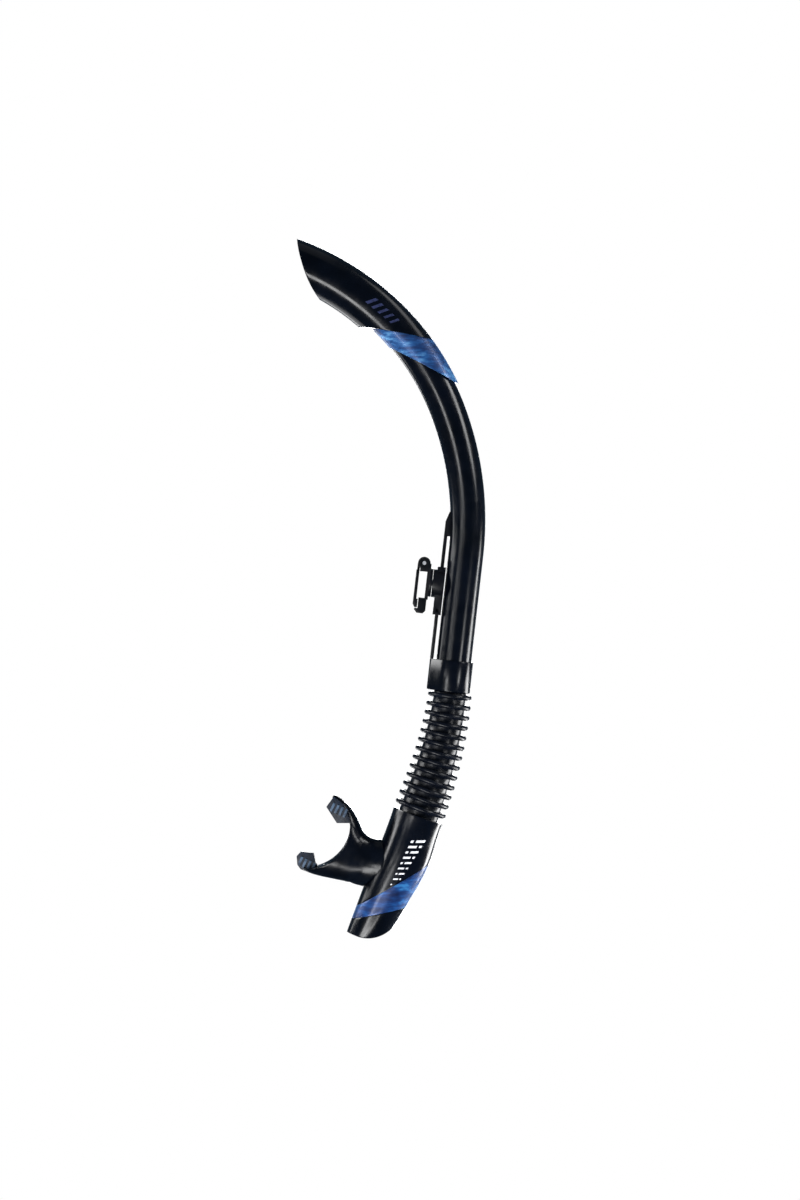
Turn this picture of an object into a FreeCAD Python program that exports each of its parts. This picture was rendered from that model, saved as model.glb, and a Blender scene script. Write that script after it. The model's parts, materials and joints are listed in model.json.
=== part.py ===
import FreeCAD, Part
import math
import os
import Sketcher
from FreeCAD import Placement, Rotation, Vector

# Adult snorkel with a splash guard, a corrugated hose, a purge housing and a strap keeper.
# Millimetres. The origin is the centre of the keeper's strap slot, +Z runs up the tube,
# +X points from the mouthpiece side towards the back of the tube, and the whole object is
# mirrored about the XZ plane. Four working frames, each turned about Y only, carry the parts:
#   leg      along the straight lower run of the barrel, with its origin in the strap slot
#   crown    centred on the barrel's upper bend, x towards the start of that bend
#   housing  on the top rim of the lower housing, z up its axis
#   mouth    on the mouthpiece's neck, z towards the diver's teeth

doc = FreeCAD.newDocument("snorkel_tube")
dims = doc.addObject("Spreadsheet::Sheet", "Dims")

SIZES = (
    # barrel, in the leg frame
    ("leg_tilt", 6.5, "lean of the straight run from upright, degrees"),
    ("axis_offset", 25.8, "barrel axis to strap slot centre"),
    ("shoulder_drop", 50.5, "strap slot centre down to the hose shoulder"),
    ("straight_run", 73.0, "shoulder to the first bend"),
    ("first_bend", 196.0, "radius of the first bend"),
    ("first_sweep", 27.4, "angle of the first bend, degrees"),
    ("crown_bend", 165.6, "radius of the upper bend"),
    ("crown_sweep", 33.0, "angle of the upper bend, degrees"),
    ("barrel_outer", 11.2, "outer radius"),
    ("barrel_bore", 9.5, "bore radius"),
    ("spigot_outer", 9.7, "hose spigot radius"),
    ("spigot_bore", 8.5, "bore radius in the hose spigot"),
    ("spigot_length", 14.0, "length of the hose spigot"),
    ("fit_gap", 0.1, "gap between assembled parts"),
    # splash guard and its blue ring, in the crown frame
    ("guard_outer", 14.9, "outer radius of the guard"),
    ("guard_shift", 1.9, "guard axis inside the barrel axis"),
    ("guard_wall", 1.6, "wall of the guard"),
    ("guard_sweep", 58.0, "angle swept before the mouth is cut, degrees"),
    ("mouth_radius", 80.0, "radius of the convex mouth cut"),
    ("mouth_face", 111.8, "x of the mouth cut at its foremost point"),
    ("mouth_level", 115.6, "z of the mouth cut at its foremost point"),
    ("guard_rear", 49.6, "z where the rear cut crosses the barrel axis"),
    ("guard_rear_slope", 0.603, "fall of the rear cut per unit of x"),
    ("lip_foot", 137.9, "x where the sloping underside meets the rear cut"),
    ("lip_level", 64.8, "z at that point"),
    ("lip_slope", 0.853, "fall of the underside per unit of x"),
    ("ring_outer", 12.4, "outer radius of the blue ring"),
    ("ring_shift", 0.6, "blue ring axis outside the barrel axis"),
    ("ring_spigot", 12.0, "radius of the ring's spigot inside the guard"),
    ("ring_sweep", 29.0, "angle to the end of the ring's spigot, degrees"),
    ("ring_cut", 27.2, "z where the ring's lower cut crosses the barrel axis"),
    ("ring_cut_slope", 1.144, "fall of that cut per unit of x"),
    ("baffle_angle", 36.6, "position of the splash baffle round the bend, degrees"),
    ("baffle_radius", 12.9, "radius of the splash baffle"),
    ("baffle_plate", 1.4, "thickness of the baffle's plate and web"),
    ("baffle_web", 8.0, "length of the baffle's web"),
    # keeper rail, in the leg frame
    ("rail_face", 10.5, "x of the rail's outer face"),
    ("rail_thick", 2.2, "thickness of the rail"),
    ("rail_width", 7.0, "width of the rail"),
    ("rail_foot", 46.0, "strap slot centre down to the rail's lower end"),
    ("rail_stop", 32.5, "strap slot centre up to the rail's upper stop"),
    ("rail_crest", 42.0, "start of the wedge that runs into the barrel"),
    ("rail_top", 48.5, "top of that wedge"),
    # collar over the hose's upper cuff
    ("collar_outer", 12.5, "outer radius round the barrel"),
    ("collar_length", 20.0, "length of the collar"),
    ("collar_nose", 5.0, "radius of its nose below the rail"),
    # hose
    ("hose_arc", 63.5, "length of the curved run"),
    ("hose_run", 18.4, "length of the straight run above the housing"),
    ("hose_bore_top", 8.6, "bore radius at the top"),
    ("hose_bore_low", 10.9, "bore radius at the bottom"),
    ("hose_core_top", 10.1, "root radius between ribs at the top"),
    ("hose_core_low", 12.8, "root radius between ribs at the bottom"),
    ("rib_top", 14.0, "radius of the first rib"),
    ("rib_low", 17.1, "radius of the last rib"),
    ("rib_thick", 2.2, "thickness of a rib"),
    ("rib_pitch", 6.2, "distance between ribs"),
    ("rib_first", 2.8, "collar to the middle of the first rib"),
    ("rib_count", 13, "number of ribs"),
    # swivel at the top of the housing
    ("housing_x", -2.2, "x of the housing's top rim"),
    ("housing_z", -147.6, "z of the housing's top rim"),
    ("housing_tilt", 19.5, "lean of the housing's axis, degrees"),
    ("cuff_outer", 14.72, "running radius of the swivel cuff"),
    ("cuff_bore", 12.85, "bore of the swivel cuff"),
    ("cuff_top", 1.8, "rim down to the swivel cuff"),
    ("cuff_end", 15.3, "rim down to the end of the swivel cuff"),
    ("swivel_bore", 14.8, "bore of the housing round the cuff"),
    ("lip_bore", 13.3, "bore of the housing's top lip"),
    ("lip_thick", 1.5, "thickness of that lip"),
    ("insert_bore", 9.7, "bore of the hose insert"),
    ("seal_depth", 8.5, "rim down to the swivel seal"),
    ("seal_thick", 0.6, "cord radius of the swivel seal"),
    ("clip_depth", 16.3, "rim down to the middle of the snap ring"),
    ("clip_outer", 15.3, "outer radius of the snap ring"),
    # lower housing
    ("housing_wall", 2.0, "wall of the housing"),
    ("band_top", -46.7, "z of the band's upper edge on the housing axis"),
    ("band_top_slope", 1.147, "rise of that edge per unit of x"),
    ("band_low", -65.2, "z of the band's lower edge on the housing axis"),
    ("band_low_slope", 0.6, "rise of that edge per unit of x"),
    ("seam", 0.05, "half of the seam between housing parts"),
    ("end_radius", 23.0, "radius of the housing's rounded end"),
    ("end_x", -11.8, "x where the flat toe turns into that curve"),
    ("end_z", -62.3, "z of that curve's centre"),
    # purge valve, on the band's lower edge
    ("purge_x", -2.6, "x of the valve's centre"),
    ("seat_thick", 2.0, "thickness of the valve seat"),
    ("seat_lift", 1.2, "seat's lower face above the band's lower edge"),
    ("window_ring", 5.9, "radius of the ring of windows"),
    ("window_radius", 2.1, "radius of a window"),
    ("window_count", 6, "number of windows"),
    ("flap_radius", 9.6, "radius of the flap"),
    ("flap_thick", 0.8, "thickness of the flap"),
    ("stem_radius", 1.5, "radius of the flap's stem"),
    ("knob_radius", 2.3, "radius of the stem's knob"),
    ("flap_travel", 1.5, "lift of the flap"),
    ("vent_count", 4, "number of vent slots in the cover"),
    ("vent_width", 2.2, "width of a vent slot"),
    ("vent_pitch", 4.6, "distance between vent slots"),
    ("vent_length", 12.0, "length of a vent slot"),
    ("vent_slope", 24.0, "slope of the end under the vents, degrees"),
    # mouthpiece, in the mouth frame
    ("mouth_x", -28.1, "x of the mouth frame"),
    ("mouth_z", -177.6, "z of the mouth frame"),
    ("mouth_tilt", -65.2, "direction of the mouth frame's z, degrees from upright"),
    ("neck_shift", -4.4, "x of the neck's centre"),
    ("port_half", 12.9, "half width of the housing's port"),
    ("port_depth", 8.4, "half height of the port"),
    ("port_wall", 1.5, "wall of the port"),
    ("port_reach", 12.0, "length of the port"),
    ("shield_outer", 25.5, "radius of the shield's outer curve"),
    ("shield_outer_x", 1.0, "x of that curve's centre"),
    ("shield_outer_z", 39.5, "z of that curve's centre"),
    ("shield_inner", 28.0, "radius of the shield's concave side"),
    ("shield_inner_x", 3.0, "x of that curve's centre"),
    ("shield_inner_z", 51.8, "z of that curve's centre"),
    ("arm_outer", 42.0, "radius of the upper arm's back"),
    ("arm_outer_x", -12.3, "x of that curve's centre"),
    ("arm_outer_z", 51.9, "z of that curve's centre"),
    ("shield_half", 26.6, "half width of the shield"),
    ("shield_depth", 14.5, "half height of the shield"),
    ("tab_thick", 4.4, "thickness of a bite tab"),
    ("tab_ridge", 0.9, "height of the grip ridges"),
    ("ridge_step", 3.0, "distance between grip ridges"),
    ("ridge_length", 5.8, "length of a grip ridge"),
    # keeper, in the leg frame
    ("slider_face", 8.9, "x of the slider's outer face"),
    ("slider_back", 14.1, "x of the slider's back"),
    ("slider_half", 5.2, "half width of the slider"),
    ("slider_top", 12.5, "top of the slider"),
    ("slider_length", 30.7, "length of the slider"),
    ("boss_radius", 9.1, "radius of the swivel boss"),
    ("boss_level", 1.8, "z of the swivel axis"),
    ("boss_face", 6.6, "x of the slider's boss face"),
    ("boss_back", 13.7, "x of the boss's back"),
    ("rail_gap", 0.1, "slider's running gap on the rail"),
    ("slit_half", 1.5, "half width of the slit behind the rail"),
    ("rivet_radius", 1.9, "radius of the swivel rivet"),
    ("rivet_head", 3.2, "radius of its heads"),
    ("rivet_start", 2.7, "x of the rivet's near end"),
    ("head_thick", 1.3, "thickness of its heads"),
    ("rivet_end", 10.2, "x of the rivet's far end"),
    ("loop_half", 4.5, "half width of the strap loop"),
    ("post_face", 2.6, "x of the slot's fixed side"),
    ("post_back", 4.7, "x of the post's back"),
    ("slot_half", 8.35, "half length of the strap slot"),
    ("disc_back", 6.3, "x of the loop's swivel disc"),
    ("block_face", 3.2, "reach of the latch block"),
    ("block_foot", 18.3, "strap slot centre down to the block's foot"),
    ("bridge_face", 2.2, "reach of the bridge above the slot"),
    ("hinge_level", 13.8, "z of the gate's hinge"),
    ("ear_radius", 4.0, "radius of the hinge ears"),
    ("knuckle_radius", 3.7, "radius of the gate's knuckle"),
    ("knuckle_half", 2.2, "half width of the gate's knuckle"),
    ("pin_radius", 1.2, "radius of the gate's pin"),
    ("gate_face", 4.5, "reach of the gate's outer face"),
    ("gate_back", 2.5, "reach of the gate's inner face"),
    ("gate_foot", 14.8, "strap slot centre down to the gate's foot"),
    ("gate_head", 9.2, "top of the gate's full width"),
)

value = {}
for line, (alias, number, meaning) in enumerate(SIZES, start=1):
    dims.set("A%d" % line, alias)
    dims.set("B%d" % line, str(number))
    dims.setAlias("B%d" % line, alias)
    dims.set("C%d" % line, meaning)
    value[alias] = number
doc.recompute()

UP = Vector(0, 1, 0)


def turned(x, z, degrees):
    return Placement(Vector(x, 0, z), Rotation(UP, degrees))


leg = turned(0, 0, value["leg_tilt"])
barrel_frame = leg * Placement(Vector(value["axis_offset"], 0, -value["shoulder_drop"]), Rotation())
first_centre = Placement(Vector(-value["first_bend"], 0, value["straight_run"]), Rotation())
first_turn = Placement(Vector(), Rotation(UP, -value["first_sweep"]))
crown_offset = Placement(Vector(value["first_bend"] - value["crown_bend"], 0, 0), Rotation())
crown = barrel_frame * first_centre * first_turn * crown_offset
housing = turned(value["housing_x"], value["housing_z"], value["housing_tilt"])
mouth = turned(value["mouth_x"], value["mouth_z"], value["mouth_tilt"])
mouth_in_housing = housing.inverse() * mouth

written = []


def finish(obj, label, placement):
    """Names a finished sub-part, puts it in place and lists it for export."""
    obj.Label = label
    obj.Placement = placement
    written.append(obj)
    return obj


# ---- sketch and feature helpers ----


def number_of(expression):
    return float(dims.evalExpression(expression))


def bound(text):
    """Puts the sheet's name in front of every alias in a formula."""
    words = []
    for word in text.split():
        words.append("Dims." + word if word in value else word)
    return " ".join(words).replace("sqrt (", "sqrt(")


def new_body(name):
    return doc.addObject("PartDesign::Body", name)


def new_sketch(body, name, role):
    plane = [item for item in body.Origin.OriginFeatures if item.Role == role][0]
    sketch = body.newObject("Sketcher::SketchObject", name)
    sketch.AttachmentSupport = [(plane, "")]
    sketch.MapMode = "FlatFace"
    return sketch


def bind(sketch, constraint, formula):
    index = sketch.addConstraint(constraint)
    name = "size%d" % index
    sketch.renameConstraint(index, name)
    sketch.setExpression("Constraints." + name, formula)


def place_point(sketch, geometry, point, x, y):
    """Ties a sketch point to two formulas; the formula 0 means on the axis."""
    if x == "0":
        sketch.addConstraint(Sketcher.Constraint("PointOnObject", geometry, point, -2))
    else:
        rule = Sketcher.Constraint("DistanceX", -1, 1, geometry, point, number_of(bound(x)))
        bind(sketch, rule, bound(x))
    if y == "0":
        sketch.addConstraint(Sketcher.Constraint("PointOnObject", geometry, point, -1))
    else:
        rule = Sketcher.Constraint("DistanceY", -1, 1, geometry, point, number_of(bound(y)))
        bind(sketch, rule, bound(y))


def draw_polygon(sketch, corners):
    spots = [Vector(number_of(bound(x)), number_of(bound(y)), 0) for x, y in corners]
    count = len(spots)
    edges = []
    for index in range(count):
        edges.append(sketch.addGeometry(Part.LineSegment(spots[index], spots[(index + 1) % count])))
    for index in range(count):
        following = edges[(index + 1) % count]
        sketch.addConstraint(Sketcher.Constraint("Coincident", edges[index], 2, following, 1))
    for index, (x, y) in enumerate(corners):
        place_point(sketch, edges[index], 1, x, y)


def draw_circle(sketch, x, y, radius):
    centre = Vector(number_of(bound(x)), number_of(bound(y)), 0)
    size = number_of(bound(radius))
    ring = sketch.addGeometry(Part.Circle(centre, Vector(0, 0, 1), size))
    if x == "0" and y == "0":
        sketch.addConstraint(Sketcher.Constraint("Coincident", ring, 3, -1, 1))
    else:
        place_point(sketch, ring, 3, x, y)
    bind(sketch, Sketcher.Constraint("Radius", ring, size), bound(radius))


def box_corners(x_low, x_high, y_low, y_high):
    return ((x_low, y_low), (x_high, y_low), (x_high, y_high), (x_low, y_high))


def pad(body, sketch, name, length, midplane=False, reverse=False):
    feature = body.newObject("PartDesign::Pad", name)
    feature.Profile = (sketch, [""])
    feature.setExpression("Length", bound(length))
    feature.Midplane = midplane
    feature.Reversed = reverse
    doc.recompute()
    return feature


def cut(body, sketch, name, length, midplane=False, reverse=False):
    """Pockets a sketch and stops if it took nothing away."""
    before = body.Tip.Shape.Volume
    feature = body.newObject("PartDesign::Pocket", name)
    feature.Profile = (sketch, [""])
    feature.setExpression("Length", bound(length))
    feature.Midplane = midplane
    feature.Reversed = reverse
    doc.recompute()
    if not feature.Shape.Volume < before - 0.01:
        raise RuntimeError(name + " cuts nothing")
    return feature


def revolve(body, sketch, name, sweep="360", axis="V_Axis", reverse=False):
    feature = body.newObject("PartDesign::Revolution", name)
    feature.Profile = (sketch, [""])
    feature.ReferenceAxis = (sketch, [axis])
    feature.setExpression("Angle", bound(sweep))
    feature.Reversed = reverse
    doc.recompute()
    return feature


def polygon_body(name, role, corners, length, midplane=True):
    """One straight extrusion of a polygon, used as a piece or a cutting tool."""
    body = new_body(name)
    sketch = new_sketch(body, name + "_outline", role)
    draw_polygon(sketch, corners)
    pad(body, sketch, name + "_pad", length, midplane)
    return body


def bend_body(name, shift, radius, sweep, bore=None):
    """A length of tube or bar round the crown bend, from the start of that bend."""
    body = new_body(name)
    sketch = new_sketch(body, name + "_section", "XY_Plane")
    draw_circle(sketch, "crown_bend" + shift, "0", radius)
    if bore:
        draw_circle(sketch, "crown_bend", "0", bore)
    revolve(body, sketch, name + "_bend", sweep, reverse=True)
    return body


def part_cut(name, base, tool):
    feature = doc.addObject("Part::Cut", name)
    feature.Base = base
    feature.Tool = tool
    return feature


def part_fuse(name, *shapes):
    feature = doc.addObject("Part::MultiFuse", name)
    feature.Shapes = list(shapes)
    return feature


def part_common(name, *shapes):
    feature = doc.addObject("Part::MultiCommon", name)
    feature.Shapes = list(shapes)
    return feature


def cross_cylinder(name, radius, x, z):
    """A cylinder along Y, centred on y = 0."""
    cylinder = doc.addObject("Part::Cylinder", name)
    cylinder.setExpression("Radius", bound(radius))
    cylinder.Height = 60
    cylinder.Placement = Placement(Vector(value[x], 30, value[z]), Rotation(Vector(1, 0, 0), 90))
    return cylinder


# ---- barrel and its fittings ----


def barrel_path(body):
    """The barrel's centre line: a straight run and two tangent bends towards -X."""
    sketch = new_sketch(body, body.Name + "_path", "XZ_Plane")
    run = value["straight_run"]
    first = value["first_bend"]
    second = value["crown_bend"]
    turn = math.radians(value["first_sweep"])
    last = turn + math.radians(value["crown_sweep"])
    bend_centre = Vector(-first, run, 0)
    crown_centre = bend_centre + Vector(math.cos(turn), math.sin(turn), 0) * (first - second)
    line = sketch.addGeometry(Part.LineSegment(Vector(0, 0, 0), Vector(0, run, 0)))
    normal = Vector(0, 0, 1)
    lower = sketch.addGeometry(Part.ArcOfCircle(Part.Circle(bend_centre, normal, first), 0, turn))
    upper = sketch.addGeometry(Part.ArcOfCircle(Part.Circle(crown_centre, normal, second), turn, last))
    sketch.addConstraint(Sketcher.Constraint("Coincident", line, 1, -1, 1))
    sketch.addConstraint(Sketcher.Constraint("Vertical", line))
    sketch.addConstraint(Sketcher.Constraint("Tangent", line, 2, lower, 1))
    sketch.addConstraint(Sketcher.Constraint("Tangent", lower, 2, upper, 1))
    bind(sketch, Sketcher.Constraint("Distance", line, run), "Dims.straight_run")
    bind(sketch, Sketcher.Constraint("Radius", lower, first), "Dims.first_bend")
    bind(sketch, Sketcher.Constraint("Radius", upper, second), "Dims.crown_bend")
    bind(sketch, Sketcher.Constraint("Angle", lower, turn), "Dims.first_sweep * 1 deg")
    bind(sketch, Sketcher.Constraint("Angle", upper, last - turn), "Dims.crown_sweep * 1 deg")
    doc.recompute()
    return sketch


def barrel_pipe(name, radii):
    body = new_body(name)
    path = barrel_path(body)
    section = new_sketch(body, name + "_section", "XY_Plane")
    for radius in radii:
        draw_circle(section, "0", "0", radius)
    doc.recompute()
    pipe = body.newObject("PartDesign::AdditivePipe", name + "_sweep")
    pipe.Profile = (section, [""])
    pipe.Spine = (path, ["Edge1", "Edge2", "Edge3"])
    doc.recompute()
    return body


barrel = barrel_pipe("barrel_body", ("barrel_outer", "barrel_bore"))
spigot = new_sketch(barrel, "spigot_section", "XZ_Plane")
draw_polygon(spigot, (
    ("spigot_bore", "- spigot_length"), ("spigot_outer", "- spigot_length"), ("spigot_outer", "0"),
    ("spigot_outer + 1", "0"), ("spigot_outer + 1", "2"), ("barrel_bore", "2"), ("spigot_bore", "0")))
revolve(barrel, spigot, "spigot_turned")
finish(barrel, "barrel", barrel_frame)

envelope = barrel_pipe("barrel_envelope", ("barrel_outer",))
envelope.Placement = leg.inverse() * barrel_frame


def below(crossing, slope, reach):
    """Everything on the low side of a sloping cut, in the crown frame."""
    near = "crown_bend - %d" % reach
    far = "crown_bend + %d" % reach
    return (
        (near, "%s + %s * %d" % (crossing, slope, reach)),
        (far, "%s - %s * %d" % (crossing, slope, reach)), (far, "-70"), (near, "-70"))


ring_low = polygon_body("ring_low_side", "XZ_Plane", below("ring_cut", "ring_cut_slope", 40), "60")
ring_high = polygon_body("ring_under_guard", "XZ_Plane", (
    ("crown_bend - 40", "guard_rear - seam + guard_rear_slope * 40"),
    ("crown_bend + 40", "guard_rear - seam - guard_rear_slope * 40"),
    ("crown_bend + 40", "150"), ("crown_bend - 40", "150")), "60")
ring_sleeve = bend_body("ring_sleeve", " + ring_shift", "ring_outer", "ring_sweep + 5")
ring_spigot = bend_body("ring_spigot_sleeve", "", "ring_spigot", "ring_sweep")
ring_bore = bend_body("ring_bore", "", "barrel_outer + fit_gap", "ring_sweep + 20")
ring_visible = part_cut("ring_visible", ring_sleeve, ring_high)
ring_all = part_fuse("ring_all", ring_visible, ring_spigot)
ring = part_cut("ring_trimmed", part_cut("ring_hollow", ring_all, ring_bore), ring_low)
finish(ring, "upper_trim_ring", crown)


def guard_shape(name, radius, inset):
    """The guard's swollen tube, cut at its rear seam."""
    body = bend_body(name, " - guard_shift", radius, "guard_sweep")
    rear = new_sketch(body, name + "_rear", "XZ_Plane")
    draw_polygon(rear, below("guard_rear + %s" % inset, "guard_rear_slope", 60))
    cut(body, rear, name + "_rear_cut", "80", True)
    return body


guard_solid = guard_shape("guard_solid", "guard_outer", "0")
lip = new_sketch(guard_solid, "guard_lip", "XZ_Plane")
draw_polygon(lip, (
    ("lip_foot - 30", "lip_level + lip_slope * 30"), ("lip_foot + 8", "lip_level - lip_slope * 8"),
    ("lip_foot + 8", "20"), ("lip_foot - 30", "20")))
cut(guard_solid, lip, "guard_lip_cut", "80", True)
guard_cavity = guard_shape("guard_cavity", "guard_outer - guard_wall", "2.0")
guard_passage = bend_body("guard_passage", "", "ring_spigot + fit_gap", "ring_sweep + 1")
mouth_side = doc.addObject("Part::Cylinder", "mouth_side")
mouth_side.setExpression("Radius", "Dims.mouth_radius")
mouth_side.Height = 80
mouth_centre = Vector(value["mouth_face"] + value["mouth_radius"], 40, value["mouth_level"])
mouth_side.Placement = Placement(mouth_centre, Rotation(Vector(1, 0, 0), 90))
guard_trimmed = part_common("guard_trimmed", guard_solid, mouth_side)
guard_hollow = part_fuse("guard_hollow", guard_cavity, guard_passage)
finish(part_cut("guard_shell", guard_trimmed, guard_hollow), "splash_guard", crown)

baffle = new_body("baffle_body")
plate = new_sketch(baffle, "baffle_plate_outline", "XY_Plane")
draw_circle(plate, "0", "0", "baffle_radius")
pad(baffle, plate, "baffle_plate_pad", "baffle_plate")
for side in ("-", ""):
    window = new_sketch(baffle, "baffle_window" + ("_low" if side else "_high"), "XY_Plane")
    near = side + " baffle_plate"
    far = side + " 8.6"
    draw_polygon(window, ((near, "-8"), (far, "-5.5"), (far, "5.5"), (near, "8")))
    cut(baffle, window, window.Name + "_cut", "20", True)
web = new_sketch(baffle, "baffle_web_outline", "XY_Plane")
web_half = "baffle_plate / 2"
draw_polygon(web, box_corners("- " + web_half, web_half, "- baffle_radius + 1", "baffle_radius - 1"))
pad(baffle, web, "baffle_web_pad", "baffle_web")
baffle_seat = Placement(Vector(), Rotation(UP, -value["baffle_angle"]))
baffle_radius = Placement(Vector(value["crown_bend"] - value["guard_shift"], 0, 0), Rotation())
finish(baffle, "splash_baffle", crown * baffle_seat * baffle_radius)

rail = polygon_body("rail_blank", "XZ_Plane", (
    ("rail_face", "- rail_foot"), ("rail_face", "rail_crest"), ("rail_face + 2.0", "rail_top"),
    ("rail_face + 7", "rail_top"), ("rail_face + 7", "rail_stop"),
    ("rail_face + rail_thick", "rail_stop"), ("rail_face + rail_thick", "- rail_foot")), "rail_width")
finish(part_cut("rail_fitted", rail, envelope), "keeper_rail", leg)


def collar_outline():
    """The flat-sided wedge between the collar's ring and its nose, tangent to both."""
    reach = "( axis_offset - rail_face - collar_nose )"
    lean = "( ( collar_outer - collar_nose ) / %s )" % reach
    rise = "sqrt ( 1 - %s * %s )" % (lean, lean)
    nose = "axis_offset - %s - collar_nose * %s" % (reach, lean)
    ring_x = "axis_offset - collar_outer * %s" % lean
    ring_y = "collar_outer * " + rise
    nose_y = "collar_nose * " + rise
    return ((ring_x, ring_y), (nose, nose_y), (nose, "- " + nose_y), (ring_x, "- " + ring_y))


collar = new_body("collar_body")
pieces = (("collar_ring", "axis_offset", "collar_outer"),
          ("collar_nose_bar", "rail_face + collar_nose", "collar_nose"))
for name, middle, radius in pieces:
    outline = new_sketch(collar, name, "XY_Plane")
    draw_circle(outline, middle, "0", radius)
    pad(collar, outline, name + "_pad", "collar_length")
flank = new_sketch(collar, "collar_flank", "XY_Plane")
draw_polygon(flank, collar_outline())
pad(collar, flank, "collar_flank_pad", "collar_length")
hole = new_sketch(collar, "collar_bore", "XY_Plane")
draw_circle(hole, "axis_offset", "0", "barrel_outer + fit_gap")
cut(collar, hole, "collar_bored", "collar_length * 3", True)
collar_base = Placement(Vector(0, 0, -value["rail_foot"] - value["collar_length"]), Rotation())
finish(collar, "hose_collar", leg * collar_base)

# ---- hose ----


def hose_station(length):
    """Place on the hose's centre line, that far below the collar's lower end."""
    start = leg * Vector(value["axis_offset"], 0, -value["rail_foot"] - value["collar_length"])
    bend = math.radians(value["housing_tilt"] - value["leg_tilt"]) / value["hose_arc"]
    tilt = math.radians(value["leg_tilt"])
    along = min(max(length, 0.0), value["hose_arc"])
    radius = 1.0 / bend
    turned_by = along * bend
    x = start.x - radius * (math.cos(tilt) - math.cos(tilt + turned_by))
    z = start.z - radius * (math.sin(tilt + turned_by) - math.sin(tilt))
    tilt += turned_by
    beyond = length - along
    spot = Vector(x - beyond * math.sin(tilt), 0, z - beyond * math.cos(tilt))
    return Placement(spot, Rotation(UP, math.degrees(tilt)))


def ring_wire(length, radius):
    station = hose_station(length)
    normal = station.Rotation.multVec(Vector(0, 0, 1))
    return Part.Wire(Part.makeCircle(radius, station.Base, normal))


def hose_radius(length, top, low):
    share = length / (value["hose_arc"] + value["hose_run"])
    return value[top] + (value[low] - value[top]) * min(max(share, 0.0), 1.0)


def tapered(top, low, first, last, steps=8):
    lengths = [first + (last - first) * step / steps for step in range(steps + 1)]
    wires = [ring_wire(length, hose_radius(length, top, low)) for length in lengths]
    return Part.makeLoft(wires, True, False)


def short_bar(start, end, radius):
    """A straight round bar between two stations on a straight stretch of the hose."""
    station = hose_station(end)
    axis = station.Rotation.multVec(Vector(0, 0, 1))
    return Part.makeCylinder(radius, end - start, station.Base, axis)


def hose_shape():
    whole = value["hose_arc"] + value["hose_run"]
    cuff_start = value["shoulder_drop"] - value["rail_foot"] - value["collar_length"]
    cuff_end = cuff_start + value["spigot_length"]
    body = tapered("hose_core_top", "hose_core_low", cuff_end - 1.0, whole)
    body = body.fuse(short_bar(cuff_start, cuff_end + 1.2, value["barrel_outer"]))
    body = body.fuse(short_bar(whole - 0.01, whole + 14.0, value["hose_core_low"]))
    for index in range(int(value["rib_count"])):
        middle = value["rib_first"] + index * value["rib_pitch"]
        radius = hose_radius(middle, "rib_top", "rib_low")
        half = value["rib_thick"] / 2
        rib = short_bar(middle - half, middle + half, radius)
        rims = [edge for edge in rib.Edges if edge.Curve.TypeId == "Part::GeomCircle"]
        body = body.fuse(rib.makeFillet(half * 0.8, rims))
    hollow = tapered("hose_bore_top", "hose_bore_low", cuff_end - 1.0, whole + 0.5)
    hollow = hollow.fuse(short_bar(cuff_start - 1.0, cuff_end, value["spigot_outer"] + 0.05))
    hollow = hollow.fuse(short_bar(whole, whole + 15.0, value["hose_bore_low"] + 0.05))
    return body.cut(hollow).removeSplitter()


hose = doc.addObject("Part::Feature", "hose_feature")
hose.Shape = hose_shape()
finish(hose, "flex_hose", Placement())

# ---- swivel cuff in the housing's top ----


def turned_body(name, corners):
    body = new_body(name)
    section = new_sketch(body, name + "_section", "XZ_Plane")
    draw_polygon(section, corners)
    revolve(body, section, name + "_turned")
    return body


groove = "cuff_outer - 2 * seal_thick"
cuff = turned_body("cuff_body", (
    ("cuff_bore", "- cuff_end"), ("cuff_outer", "- cuff_end"),
    ("cuff_outer", "- seal_depth - seal_thick - 0.1"), (groove, "- seal_depth - seal_thick - 0.1"),
    (groove, "- seal_depth + seal_thick + 0.1"), ("cuff_outer", "- seal_depth + seal_thick + 0.1"),
    ("cuff_outer", "- cuff_top"), ("cuff_bore", "- cuff_top")))
finish(cuff, "swivel_cuff", housing)

insert = turned_body("insert_body", (
    ("insert_bore", "- cuff_end"), ("hose_core_low", "- cuff_end"), ("hose_core_low", "- 14.1"),
    ("hose_bore_low", "- 14.1"), ("hose_bore_low", "- 0.5"), ("insert_bore", "- 0.5")))
finish(insert, "hose_insert", housing)

seal = new_body("seal_body")
seal_section = new_sketch(seal, "seal_section", "XZ_Plane")
draw_circle(seal_section, "cuff_outer - seal_thick", "- seal_depth", "seal_thick")
revolve(seal, seal_section, "seal_turned")
finish(seal, "swivel_seal", housing)

clip = turned_body("clip_body", box_corners(
    "lip_bore", "clip_outer", "- clip_depth - 0.6", "- clip_depth + 0.6"))
clip_gap = new_sketch(clip, "clip_gap", "XY_Plane")
draw_polygon(clip_gap, box_corners("8", "20", "-2.5", "2.5"))
cut(clip, clip_gap, "clip_gap_cut", "60", True)
finish(clip, "swivel_snap_ring", housing)

# ---- lower housing, blue band, purge cover ----

# Stations down the housing: depth below the rim, x of the section's centre, section radius.
STATIONS = ((0, 0.0, 16.6), (18, 0.0, 16.6), (34, -0.5, 16.7), (50, -2.2, 15.6), (62, -3.5, 14.5),
            (74, -5.0, 13.2), (88, -7.4, 10.9))


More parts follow.
